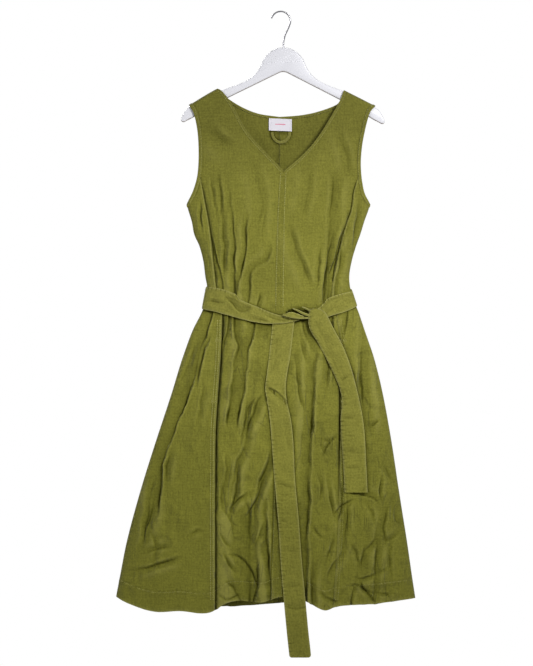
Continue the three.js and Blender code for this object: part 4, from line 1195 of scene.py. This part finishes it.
def ribbon(name, upper_edge, lower_edge, out, nodes, folds=(), profile=25, puff=0.35, ticks=0.25, dark=0.0):
    """A ribbon between two rows of edge places, with the direction that its face looks in at each row.

    folds are rows of depth, reach to the left and right of the line, and the line, as for the panels. ticks
    are the small puckers that the sewn edge leaves, and dark is the shade all over."""
    share = np.linspace(0, 1, profile)
    centre = (upper_edge + lower_edge) / 2
    run = np.concatenate([[0], np.cumsum(np.linalg.norm(np.diff(centre, axis=0), axis=1))])
    width = np.linalg.norm(lower_edge - upper_edge, axis=1)
    spots = upper_edge[:, None] + (lower_edge - upper_edge)[:, None] * share[None, :, None]
    across, along = share * width[:, None], np.repeat(run[:, None], profile, 1)
    relief_here, shade = np.zeros_like(across), np.zeros_like(across) + dark
    # painted shade along the line of each fold
    for depth, left, right, path in folds:
        more, crease = one_fold(spots[..., 0], spots[..., 2], depth, left, right, path, fade=12)
        relief_here += more
        shade = np.maximum(shade, 1.25 * crease)
    relief_here += puff * np.sin(math.pi * share) ** 0.5 - puff
    from_edge = np.minimum(across, width[:, None] - across)
    tick = 0.5 + 0.5 * np.sin(along / 1.4 + 1.3 * np.sin(along / 11))
    relief_here -= ticks * tick * np.exp(-from_edge / 3.2)
    # painted shade in the puckers near the upper edge
    often = ease(0.6 + 2 * np.sin(along / 37 + 2 * np.sin(along / 13)))
    shade = np.maximum(shade, 2.2 * ticks * often * ease(4 * tick - 3) * np.exp(-((across - 2) / 4.5) ** 2))
    half = belt_wall / 2 * np.sqrt(np.clip(1 - np.abs(2 * share - 1) ** 8, 0, 1)) + 0.12
    face = out[:, None] / np.linalg.norm(out, axis=-1)[:, None, None]
    outer = spots + face * (relief_here + belt_wall / 2 + half)[..., None]
    inner = spots + face * (relief_here + belt_wall / 2 - half)[..., None]
    rings = np.concatenate([outer, inner[:, ::-1]], 1)
    uv = np.stack([np.concatenate([across, across[:, ::-1]], 1), np.concatenate([along, along], 1)], -1) * MM
    both_faces = np.concatenate([from_edge, from_edge[:, ::-1]], 1)
    shade = np.concatenate([shade, 0 * shade + dark], 1)
    # its edges are painted pale, as wear and as painted highlight
    piece = sleeve(name + "_cloth", rings, uv, belt_linen, shade=shade, edge=np.exp(-both_faces / 1.6),
                   pucker=np.exp(-both_faces / 4))
    if nodes:
        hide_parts(*nodes)
    report(piece)
    return piece


def clear_of_cloth(side, x, z, lift, margin):
    """Places on the smooth skin at a lift, raised where a fold of the cloth stands higher."""
    angle = angle_at(x, z)
    height = relief(side, angle, z)[0]
    lift = np.maximum(lift, height + margin)
    return bare_skin(side, angle, z) + outward(side, angle, z) * lift[..., None]


# %% Round the waist
# place across the body, upper edge, lower edge, and lift off the cloth of each edge
belt_rows = {
    "belt_front_left": [(-165, -573, -619, 0.9, 0.9), (-134, -576.6, -625, 0.9, 1.4),
                        (-117, -581, -629.5, 1.1, 1.7), (-95, -589, -635.5, 1.4, 2.2),
                        (-91.5, -592.5, -636.5, 1.4, 2.2), (-86.5, -599.5, -638, 1.4, 2.4),
                        (-65, -609, -644, 1.5, 3.0), (-47, -616, -648, 2, 3.8),
                        (-27, -625, -651, 2.5, 4.4), (-8, -632, -651.5, 2.6, 4.6),
                        (5, -635.5, -650.7, 3, 4.6), (15, -637, -649, 3.4, 4.6),
                        (40, -639.5, -642.5, 4.2, 4.6)],
    "belt_front_right": [(59, -626, -640, 4, 4), (70, -621, -640, 4, 4), (76, -617, -639.5, 3.6, 4),
                         (86, -608.5, -638, 3, 3.6), (98, -598, -634, 2.2, 3), (130, -588, -624, 0.9, 1.4),
                         (165, -581, -609, 0.9, 0.9)],
    "belt_back": [(-165, -573, -619, 0.9, 0.9), (0, -571, -616, 0.9, 0.9), (130, -575, -617, 0.9, 0.9),
                  (165, -581, -609, 0.9, 0.9)],
}


def belt_stretch(name, side, start, end, count, folds):
    """A stretch of the belt from one angle round the body to another."""
    angle = np.linspace(start, end, count)
    x = bare_skin(side, angle, np.full(count, -600.0))[:, 0]
    row = read(belt_rows[name], x)
    edges = []
    for z, lift in ((row[:, 0], row[:, 2]), (row[:, 1], row[:, 3])):
        edges.append(bare_skin(side, angle, z) + outward(side, angle, z) * lift[:, None])
    out = outward(side, angle, (row[:, 0] + row[:, 1]) / 2)
    return ribbon(name, edges[0], edges[1], out, [name], folds)


belt_left = belt_stretch("belt_front_left", "front", -half_turn, float(angle_at(38.0, -640.0)), 130, [
    (4.6, 3, 8, [(-114, -599), (-107, -603), (-99, -610), (-92, -620), (-84, -625), (-72, -624),
                 (-60, -617)]),
    (2.0, 7, 7, [(-90, -618), (-76, -619), (-62, -614)]),
    (1.6, 2, 4, [(-96, -586), (-91, -596), (-85, -604)]),
    (2.4, 8, 3, [(-152, -601), (-130, -606), (-112, -606)]),
    (2.2, 9, 3, [(-117, -590), (-112, -597), (-104, -603)]),
    (2.2, 8, 3, [(-72, -633), (-50, -640), (-24, -646)]),
    (1.6, 4, 7, [(-34, -632), (-16, -639), (4, -644), (20, -645)]),
    (1.0, 6, 6, [(-147, -582), (-140, -594), (-138, -610)]),
])
belt_right = belt_stretch("belt_front_right", "front", float(angle_at(59.0, -628.0)), half_turn, 80, [
    (1.8, 5, 6, [(84, -626), (92, -614), (104, -602), (118, -596)]),
    (1.4, 5, 6, [(90, -634), (104, -622), (122, -612)]),
    (1.0, 6, 6, [(124, -592), (132, -602), (140, -606)]),
])
belt_behind = belt_stretch("belt_back", "back", -half_turn, half_turn, 150, [
    (1.4, 6, 9, [(-126, -578), (-100, -592), (-74, -606)]),
    (1.2, 9, 6, [(-30, -604), (6, -594), (44, -592)]),
    (1.4, 6, 8, [(80, -580), (100, -594), (120, -610)]),
])


# %% The hanging ends
def tail(name, rows, folds, count):
    """A hanging end of the belt, held off whatever folds of the skirt lie under it."""
    rows = np.array(rows, float)
    z = np.linspace(rows[0, 0], rows[-1, 0], count)
    row = read(rows, z)
    left, right, lift = row[:, 0], row[:, 1], row[:, 2]
    # past the hem it hangs on straight down
    on_cloth = np.maximum(z, -1200)
    edges = []
    for x in (left, right):
        place = clear_of_cloth("front", x, on_cloth, lift, 0.5)
        place[:, 0], place[:, 2] = x, z
        edges.append(place)
    between = [clear_of_cloth("front", left + share * (right - left), on_cloth, lift, 0.9)[:, 1]
               for share in (0.12, 0.3, 0.5, 0.7, 0.88)]
    # the ribbon rides over what stands highest under it, and eases down slowly
    depth = np.minimum(np.minimum(edges[0][:, 1], edges[1][:, 1]), np.min(between, 0))
    kernel = np.hanning(15) / np.hanning(15).sum()
    eased = np.convolve(np.pad(depth, 7, mode="edge"), kernel, mode="valid")
    for edge in edges:
        edge[:, 1] = np.minimum(edge[:, 1], eased + 0.7)
    out = np.tile([0.0, -1.0, 0.0], (count, 1))
    return ribbon(name, edges[0], edges[1], out, [name], folds)


tail_short = tail("belt_tail_short", tail_short_rows, [
    (1.4, 8, 6, [(70, -640), (84, -670), (100, -700)]),
    (1.2, 6, 9, [(92, -690), (112, -735), (132, -775)]),
    (1.6, 3, 5, [(120, -773), (130, -766), (142, -757)]),
    (1.8, 5, 3, [(119, -793), (128, -790), (138, -788)]),
    (1.4, 3, 4, [(122, -810), (132, -809), (144, -806)]),
    (1.4, 3, 3, [(123, -821), (130, -820), (138, -815)]),
    (1.0, 3, 5, [(124, -846), (138, -848), (156, -845)]),
    (0.9, 4, 4, [(125, -862), (140, -865), (158, -860)]),
    (1.1, 3, 5, [(126, -880), (138, -883), (152, -882)]),
    (1.0, 4, 4, [(128, -914), (142, -917), (156, -915)]),
    (1.2, 3, 5, [(129, -928), (140, -930), (150, -930)]),
    (1.0, 4, 4, [(129, -946), (142, -950), (166, -948)]),
    (1.4, 3, 3, [(160, -1000), (170, -996), (180, -989)]),
    (0.9, 8, 8, [(150, -800), (158, -840), (160, -880)]),
], 240)
tail_long = tail("belt_tail_long", tail_long_rows, [
    (5.0, 8, 2.6, [(-31, -783), (-22, -787), (-12, -793), (0, -803), (8, -813), (14, -826)]),
    (1.2, 3, 5, [(-22, -692), (-15, -692), (-6, -690)]),
    (1.0, 4, 4, [(-14, -719), (-6, -719), (4, -715)]),
    (1.4, 8, 6, [(-8, -676), (-10, -716), (-18, -756)]),
    (1.2, 3, 3, [(-31, -815), (-26, -812), (-20, -806)]),
    (1.4, 4, 7, [(8, -846), (10, -880), (20, -920)]),
    (1.2, 6, 8, [(-16, -850), (-12, -890), (-10, -930)]),
    (1.8, 3, 5, [(-14, -984), (2, -983), (12, -988), (30, -990)]),
    (1.4, 4, 4, [(-8, -1002), (6, -1006), (22, -1004)]),
    (1.2, 3, 4, [(-8, -1015), (2, -1017), (12, -1016)]),
    (1.3, 3, 4, [(-4, -1056), (6, -1060), (16, -1059)]),
    (1.5, 3, 5, [(0, -1158), (10, -1164), (18, -1160), (27, -1149)]),
    (1.8, 3, 4, [(10, -1124), (18, -1122), (30, -1116)]),
    (1.2, 4, 4, [(2, -1190), (14, -1196), (36, -1192)]),
    (2.4, 5, 9, [(4, -1234), (22, -1240), (36, -1241), (54, -1236)]),
    (1.4, 3, 4, [(12, -1276), (22, -1278), (34, -1275)]),
    (1.2, 4, 5, [(16, -1300), (34, -1304), (56, -1298)]),
    (1.0, 7, 7, [(34, -1286), (40, -1310), (38, -1334)]),
], 380)


# %% The knot
def strand(rows):
    """Edge places and facing of a strand, from rows of x, upper z, lower z, and the lifts of those edges."""
    line = spline(rows, 48)
    knot_z = np.full(len(line), -650.0)
    base = bare_skin("front", angle_at(line[:, 0], knot_z), knot_z)[:, 1]
    upper = np.stack([line[:, 0], base - line[:, 3], line[:, 1]], -1)
    lower = np.stack([line[:, 0], base - line[:, 4], line[:, 2]], -1)
    along = np.gradient((upper + lower) / 2, axis=0)
    out = np.cross(along, upper - lower)
    out *= np.sign(-out[:, 1:2])
    return upper, lower, out


# painted shade: a strand painted dark all over stands for the shade in the knot's hollow
knot_shadow_strand = ribbon("knot_shadow_strand", *strand([
    (15, -621.5, -627, 4.2, 4.2), (26, -620, -630, 4.8, 4.8), (38, -622, -635, 5, 5), (50, -622, -640, 5, 5),
    (60, -622, -641, 4.8, 4.8)]), [], [], profile=11, puff=0.3, ticks=0, dark=1.0)
knot_leaf = ribbon("knot_leaf", *strand([
    (3, -633, -634.5, 7, 7), (9, -629.5, -636, 8.5, 9.5), (19, -626.3, -638.5, 9.5, 12),
    (28, -627.3, -640, 9.5, 12.5),
    (37, -632, -640.9, 9.5, 12.5), (46, -636, -640.8, 9.5, 12), (60, -637, -640.2, 9, 11)]), ["belt_knot"],
    [(1.0, 3, 3, [(24, -630), (33, -634), (42, -638)])], profile=13, puff=1.4, ticks=0.1)
knot_over = ribbon("knot_over", *strand([
    (25, -618.6, -621, 9, 9), (35, -621.4, -625.6, 12, 11.4), (46, -626.6, -632.2, 13.6, 12.6),
    (60, -631.5, -637, 13.6, 13)]), [], [], profile=11, puff=1.2, ticks=0)
knot_loop = ribbon("knot_loop", *strand([
    (34, -629, -631, 8, 8), (40, -632, -635, 11, 10), (47, -634.6, -638.4, 12, 11)]), [], [], profile=9,
    puff=0.7, ticks=0)
knot_end = ribbon("knot_end", *strand([
    (44, -615, -617, 8, 8), (50, -616.6, -620.2, 11, 10.4), (60, -620.8, -626, 12.4, 12)]), [], [], profile=9,
    puff=0.9, ticks=0)
knot = [knot_shadow_strand, knot_leaf, knot_over, knot_loop, knot_end]
belt_pieces = [belt_left, belt_right, belt_behind, tail_short, tail_long, *knot]

# %% [markdown]
# ## Label, hanging loop and pocket bags
#
# A woven label is sewn inside the back neck with its two ends folded under, and a narrow tape below it forms
# the hanging loop. The label carries no name, only a plain woven line. The pocket bags are sewn into the
# side-front seams and hang inside the skirt. They are hardly seen, but they are there when the hem is lifted.

# %% Woven label
satin, tree, shader = new_material("woven_label", 0.5, Sheen_Weight=0.15)
cloth_map = add_node(tree, "ShaderNodeUVMap", {"uv_map": "cloth"}).outputs["UV"]
apart = add_node(tree, "ShaderNodeSeparateXYZ", Vector=cloth_map)
u, v = apart.outputs["X"], apart.outputs["Y"]


def within(tree, value, low, high):
    """1 where a value lies between two others, and 0 elsewhere."""
    above, below = calculate(tree, "GREATER_THAN", value, low), calculate(tree, "LESS_THAN", value, high)
    return calculate(tree, "MULTIPLY", above, below)


ribs = calculate(tree, "SINE", calculate(tree, "MULTIPLY", v, 5200.0))
rib_share = calculate(tree, "ADD", calculate(tree, "MULTIPLY", ribs, 0.25), 0.5)
satin_colour = blend_colours(tree, rib_share, srgb(226, 222, 232), srgb(243, 240, 247))
line_here = calculate(tree, "MULTIPLY", within(tree, u, 0.0135, 0.0345), within(tree, v, 0.0128, 0.0146))
satin_colour = blend_colours(tree, line_here, satin_colour, srgb(226, 120, 150))
# painted shade: a grey line where each end of the label folds under
fold_here = calculate(tree, "ADD", within(tree, u, 0.0034, 0.0041), within(tree, u, 0.0439, 0.0446))
fold_share = calculate(tree, "MULTIPLY", fold_here, 0.5)
satin_colour = blend_colours(tree, fold_share, satin_colour, srgb(170, 162, 178))
tree.links.new(satin_colour, shader.inputs["Base Color"])
bump = add_node(tree, "ShaderNodeBump", Height=ribs, Strength=0.3, Distance=0.0002)
tree.links.new(bump.outputs[0], shader.inputs["Normal"])

label_width, label_height, label_z = 48, 25.5, -234.3
across, up = np.meshgrid(np.linspace(-0.5, 0.5, 34), np.linspace(-0.5, 0.5, 20))
x = -1 + across * label_width
z = label_z + up * label_height - 0.04 * (x + 1)
# it bows out in the middle and at its folded ends, and its upper edge lies closer to the cloth
bow = 0.5 * np.sin((across + 0.5) * math.pi) + 0.35 * near_line(np.abs(across) - 0.42, 0.03)
bow -= 0.72 * (0.5 - up)
spot = angle_at(x, z)
face, back_face = (bare_skin("back", spot, z) + outward("back", spot, z) * (-wall - depth)[..., None]
                   for depth in (2.5 - bow * 0.9, 1.8 - bow * 0.9))
rings = np.concatenate([face, back_face[:, ::-1]], 1)
uv = np.stack([(across + 0.5) * label_width, (up + 0.5) * label_height], -1) * MM
label = sleeve("label_cloth", rings, np.concatenate([uv, uv[:, ::-1]], 1), satin)
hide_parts("neck_label")
report(label)

# %% Hanging loop
turn = np.linspace(math.pi, 2 * math.pi, 60)
tape = np.linspace(-3, 3, 9)
radius_x, radius_z = 18.5 + tape, 22 + tape
x = radius_x * np.cos(turn)[:, None]
z = -249 + radius_z * np.sin(turn)[:, None]
lift = 0.7 + 1.1 * np.sin(turn - math.pi)[:, None] ** 2 + 0 * x
spot = angle_at(x, z)
round_tape = 0.75 * np.sqrt(1 - np.linspace(-1, 1, 9) ** 6) + 0.15
skin, inward = bare_skin("back", spot, z), -outward("back", spot, z)
layers = [skin + inward * (wall + lift + face * round_tape + 0.8)[..., None] for face in (1, -1)]
rings = np.concatenate([layers[0], layers[1][:, ::-1]], 1)
run = 20.2 * (turn - math.pi)
uv = np.stack(np.broadcast_arrays(np.concatenate([tape, tape[::-1]])[None, :], run[:, None]), -1) * MM
# the tape's edges are painted pale, as wear and as painted highlight
edge = np.tile([0.8] + [0.2] * 7 + [0.8] + [0.8] + [0.2] * 7 + [0.8], (60, 1))
loop = sleeve("hanging_loop_tape", rings, uv, belt_linen, edge=edge)
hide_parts("hanging_loop")
report(loop)


# %% Pocket bags
pocket_bottom, pocket_tall, pocket_wide = -870, 230, 105


def pocket_bag(name, line_name, direction):
    """A flat bag of two layers that hangs behind the front, from a seam towards the middle."""
    z = pocket_bottom + pocket_tall * np.linspace(0, 1, 64)
    part = np.linspace(0, 1, 34)
    depth = np.clip((-640 - z) / pocket_tall, 0, 0.85)
    reach = pocket_wide * (0.7 + 0.3 * np.sin(math.pi * depth))
    x = line_x(line_name, z)[:, None] + direction * (4 + (reach[:, None] - 4) * part)
    z = np.repeat(z[:, None], len(part), 1)
    angle = angle_at(x, z)
    hang = 11 * ease(part * 2.4) + 1.2 * np.sin(z / 23 + 3 * part) * part + 6 * np.exp(-part * 9)
    skin, inward = bare_skin("front", angle, z), -outward("front", angle, z)
    layers = [skin + inward * (wall + 0.6 + hang + apart)[..., None] for apart in (0, 2.2)]
    rings = np.concatenate([layers[0], layers[1][:, ::-1]], 1)
    flat = np.stack([x, z], -1) * MM
    piece = sleeve(name + "_cloth", rings, np.concatenate([flat, flat[:, ::-1]], 1), inner_linen)
    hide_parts(name)
    report(piece)
    return piece


pockets = [pocket_bag("pocket_bag_left", "side_front_left", 1),
           pocket_bag("pocket_bag_right", "side_front_right", -1)]

# %% [markdown]
# ## The hanger
#
# The hanger is sawn from flat wood, rounded along its edges and sprayed white, and its hook is a bent wire
# screwed into the top. The CAD solid already has the right shape, so a copy of it is cleaned, given softer
# edges and painted. Where it faces down it is coloured brown, as painted shade along the underside.

# %% Painted wood
paint, tree, shader = new_material("white_painted_wood", 0.34, Coat_Weight=0.25, Coat_Roughness=0.2)
place = add_node(tree, "ShaderNodeTexCoord").outputs["Object"]
run = add_node(tree, "ShaderNodeMapping", Vector=place, Scale=(14, 60, 90))
wood_grain = add_node(tree, "ShaderNodeTexNoise", Vector=run.outputs[0], Scale=4.0, Detail=6.0,
                      Roughness=0.6).outputs["Fac"]
white = blend_colours(tree, wood_grain, srgb(234, 234, 242), srgb(248, 248, 253))
# painted shade: faces that look down are coloured brown
normal = add_node(tree, "ShaderNodeNewGeometry").outputs["Normal"]
facing = add_node(tree, "ShaderNodeSeparateXYZ", Vector=normal).outputs["Z"]
underside_shade = add_node(tree, "ShaderNodeMapRange", Value=facing, i1=-0.35, i2=-0.85, i3=0.0,
                      i4=0.8).outputs[0]
underside_shade_brown = blend_colours(tree, wood_grain, srgb(140, 116, 96), srgb(186, 164, 142))
tree.links.new(blend_colours(tree, underside_shade, white, underside_shade_brown), shader.inputs["Base Color"])
bump = add_node(tree, "ShaderNodeBump", Height=wood_grain, Strength=0.18, Distance=0.0006)
tree.links.new(bump.outputs[0], shader.inputs["Normal"])

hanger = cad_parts["hanger_body"].copy()
hanger.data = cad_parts["hanger_body"].data.copy()
hanger.name = "hanger_wood"
for key in list(hanger.keys()):
    del hanger[key]
hanger.parent = None
scene.collection.objects.link(hanger)
hanger.data.materials.clear()
hanger.data.materials.append(paint)
weld = hanger.modifiers.new("merge", "WELD")
weld.merge_threshold = 0.00002
bake_modifiers(hanger)
hanger.data.shade_smooth()
hanger.data.set_sharp_from_angle(angle=math.radians(33))
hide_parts("hanger_body")
report(hanger)

# %% Steel hook
steel, tree, shader = new_material("polished_steel", 0.22, Metallic=1.0)
place = add_node(tree, "ShaderNodeTexCoord").outputs["Object"]
brushed = add_node(tree, "ShaderNodeTexNoise", Scale=300.0, Detail=3.0, Vector=place).outputs["Fac"]
metal = blend_colours(tree, brushed, srgb(176, 176, 182), srgb(214, 214, 219))
tree.links.new(metal, shader.inputs["Base Color"])
gloss = add_node(tree, "ShaderNodeMapRange", Value=brushed, i3=0.16, i4=0.32)
tree.links.new(gloss.outputs[0], shader.inputs["Roughness"])

wire, hook_bend, tilt = 1.6, 18.5, math.radians(0.55)
bend = [(-6.2 + (hook_bend + wire) * math.cos(t), -hook_bend + (hook_bend + wire) * math.sin(t))
        for t in np.radians(np.linspace(-15, 165, 15))]
hook_rows, hook_sides = 150, 14
path = spline([(0, -86), (0, -74), (0, -62), (3.5, -47), (9.5, -34), *bend], hook_rows)
middle_x = path[:, 0] + 6.2
centre = np.stack([middle_x * math.cos(tilt) + path[:, 1] * math.sin(tilt), 0 * middle_x,
                   -middle_x * math.sin(tilt) + path[:, 1] * math.cos(tilt)], -1)
forward = np.gradient(centre, axis=0)
forward /= np.linalg.norm(forward, axis=1, keepdims=True)
sideways = np.cross(forward, [0, 1, 0])
around = np.linspace(0, 2 * math.pi, hook_sides, endpoint=False)
# the last few rows draw in to a rounded end
near_end = np.clip((np.arange(hook_rows) - (hook_rows - 4)) / 3.2, 0, 1)
girth = wire * np.sqrt(np.clip(1 - near_end**2, 0.02, 1))
rings = (centre[:, None] + girth[:, None, None] * (np.cos(around)[None, :, None] * sideways[:, None]
                                                   + np.sin(around)[None, :, None] * np.array([0, 1, 0])))
uv = np.stack(np.broadcast_arrays(np.arange(hook_sides)[None, :] * 0.7,
                                  np.linspace(0, 190, hook_rows)[:, None]), -1) * MM
hook = sleeve("hook_wire", rings, uv, steel)
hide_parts("hanger_hook")
report(hook)

# %% [markdown]
# ## Stitches
#
# About two thousand two hundred stitches show on the dress, 3.6 mm apart. Setting each by hand would take for
# ever, and painting them on would look flat up close. Geometry Nodes do it well: the rows are drawn once as
# lines on the cloth, and the tree sets points along them and puts a short thread at each one.

# %% Rows to stitch
bold_rows, fine_rows = [], []


def stitch_line(side, x, z, lift=0.3, rows=bold_rows):
    """Adds a row of stitches through places x, z."""
    angle = angle_at(x, z)
    rows.append(cloth_at(side, angle, z, lift=np.full_like(x, lift)))


def down(start, end):
    return np.linspace(start, end, int(abs(end - start) / 2.5) + 2)


z = down(-338, -612)
offsets = read(band_rows, z)
for k in (0, 1):
    stitch_line("front", line_x("centre_front", z) + offsets[:, k], z)
z = down(-662, -1208)
offsets = read(band_rows, z)
for k in (0, 1):
    stitch_line("front", line_x("centre_front", z) + offsets[:, k], z, rows=fine_rows)
for name, away in (("side_front_left", -1), ("side_front_right", 1)):
    for offset in (4.5, 9.5):
        z = down(-644, -1222)
        stitch_line("front", line_x(name, z) + away * offset, z, rows=bold_rows if away < 0 else fine_rows)
    # a bar tack at the top and at the bottom of the pocket's mouth
    for height in (-683, -810):
        for k in range(5):
            z = np.full(5, height - 1.3 * k)
            stitch_line("front", line_x(name, z) + away * np.linspace(2, 12, 5), z, 0.25, fine_rows)
x = np.linspace(-325, 262, 240)
for side in ("front", "back"):
    stitch_line(side, x, read(hem_line[side], x) + hem_turn, 0.1, fine_rows)
z = down(-236, -1200)
stitch_line("back", line_x("centre_back", z) + 5, z, 0.2, fine_rows)
print(len(bold_rows) + len(fine_rows), "rows on the panels")


# %% Rows on the bands
def along_band(line_name, side, inset, level, lift):
    """Adds the row of stitches that holds a band, at its own distance from the cut edge."""
    angle = boundary(side, level, [line_name])
    z = height_at_angle(level, angle, side)
    places = bare_skin(side, angle, z)
    run = np.gradient(places, axis=0)
    across = np.cross(outward(side, angle, z), run)
    across /= np.linalg.norm(across, axis=1, keepdims=True)
    spot = places + across * inset
    height = np.minimum(spot[:, 2], read(shoulder_line, spot[:, 0]) - 0.3)
    fine_rows.append(cloth_at(side, angle_at(spot[:, 0], height), height, lift=np.full_like(height, lift)))


steps_up = np.linspace(0.03, 0.975, 90)
for side, inward in (("front", 1), ("back", -1)):
    along_band("armhole_left", side, -5.6 * inward, steps_up, 1.25)
    along_band("armhole_right", side, 5.6 * inward, steps_up, 1.25)
along_band("neck_left", "front", 4.4, np.linspace(0.235, 0.975, 80), 0.5)
along_band("neck_right", "front", -4.4, np.linspace(0.235, 0.975, 80), 0.5)
for name, inset in (("back_neck_left", -4.4), ("back_neck_right", 4.4)):
    along_band(name, "back", inset, np.linspace(0.61, 0.955, 40), -wall - 1.3)
print(len(fine_rows), "fine rows with those of the bands")


# %% A tree that sews
def sewing_tree():
    tree = bpy.data.node_groups.new("sewing", "GeometryNodeTree")
    tree.interface.new_socket("Rows", in_out="INPUT", socket_type="NodeSocketGeometry")
    for name, value in (("Pitch", 0.0036), ("Stitch length", 0.0027), ("Thread thickness", 0.0009)):
        tree.interface.new_socket(name, in_out="INPUT", socket_type="NodeSocketFloat").default_value = value
    tree.interface.new_socket("Thread", in_out="INPUT", socket_type="NodeSocketMaterial")
    tree.interface.new_socket("Stitches", in_out="OUTPUT", socket_type="NodeSocketGeometry")
    given = tree.nodes.new("NodeGroupInput").outputs
    curves = add_node(tree, "GeometryNodeMeshToCurve", i0=given["Rows"]).outputs[0]
    spaced = add_node(tree, "GeometryNodeResampleCurve", {"mode": "LENGTH"}, Curve=curves,
                      Length=given["Pitch"]).outputs[0]
    single = add_node(tree, "GeometryNodeMeshUVSphere", Segments=6, Rings=4, Radius=1.0).outputs["Mesh"]
    along = add_node(tree, "FunctionNodeAlignRotationToVector", {"axis": "Z"},
                     Vector=tree.nodes.new("GeometryNodeInputTangent").outputs[0]).outputs[0]
    uneven = add_node(tree, "FunctionNodeRandomValue", {"data_type": "FLOAT"}, i2=0.82, i3=1.08,
                      Seed=11).outputs[1]
    half = calculate(tree, "MULTIPLY", given["Thread thickness"], 0.5)
    length = calculate(tree, "MULTIPLY", calculate(tree, "MULTIPLY", given["Stitch length"], 0.5), uneven)
    scale = add_node(tree, "ShaderNodeCombineXYZ", X=half, Y=half, Z=length).outputs[0]
    sewn = add_node(tree, "GeometryNodeInstanceOnPoints", Points=spaced, Instance=single, Rotation=along,
                    Scale=scale)
    real = add_node(tree, "GeometryNodeRealizeInstances", i0=sewn.outputs[0]).outputs[0]
    done = add_node(tree, "GeometryNodeSetMaterial", Geometry=real, Material=given["Thread"]).outputs[0]
    tree.links.new(done, tree.nodes.new("NodeGroupOutput").inputs[0])
    return tree


def sew(name, rows, **sizes):
    points = np.concatenate(rows) * MM
    starts = np.cumsum([0] + [len(r) for r in rows])
    edges = [(i, i + 1) for a, b in zip(starts[:-1], starts[1:]) for i in range(a, b - 1)]
    mesh = bpy.data.meshes.new(name)
    mesh.from_pydata(points.tolist(), edges, [])
    piece = bpy.data.objects.new(name, mesh)
    scene.collection.objects.link(piece)
    tree = sewing_tree()
    modifier = piece.modifiers.new("sewing", "NODES")
    modifier.node_group = tree
    sockets = {s.name: s.identifier for s in tree.interface.items_tree if s.in_out == "INPUT"}
    modifier[sockets["Thread"]] = thread
    for key, value in sizes.items():
        modifier[sockets[key.replace("_", " ")]] = value
    bake_modifiers(piece)
    piece.data.shade_smooth()
    return piece


centre_stitches = sew("centre_stitches", bold_rows, Thread_thickness=0.0016, Stitch_length=0.0026)
seam_stitches = sew("seam_stitches", fine_rows, Thread_thickness=0.0006, Stitch_length=0.0024)
for piece in (centre_stitches, seam_stitches):
    report(piece)

# %% [markdown]
# ## Riding
#
# The dress and its hanger are one body, and each piece rides on it.

# %% Everything rides on the one body
cloth_pieces = [*panels, *bands, *belt_pieces, loop, *pockets, centre_stitches, seam_stitches]
for piece in (*cloth_pieces, label, hanger, hook):
    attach(piece, "root")
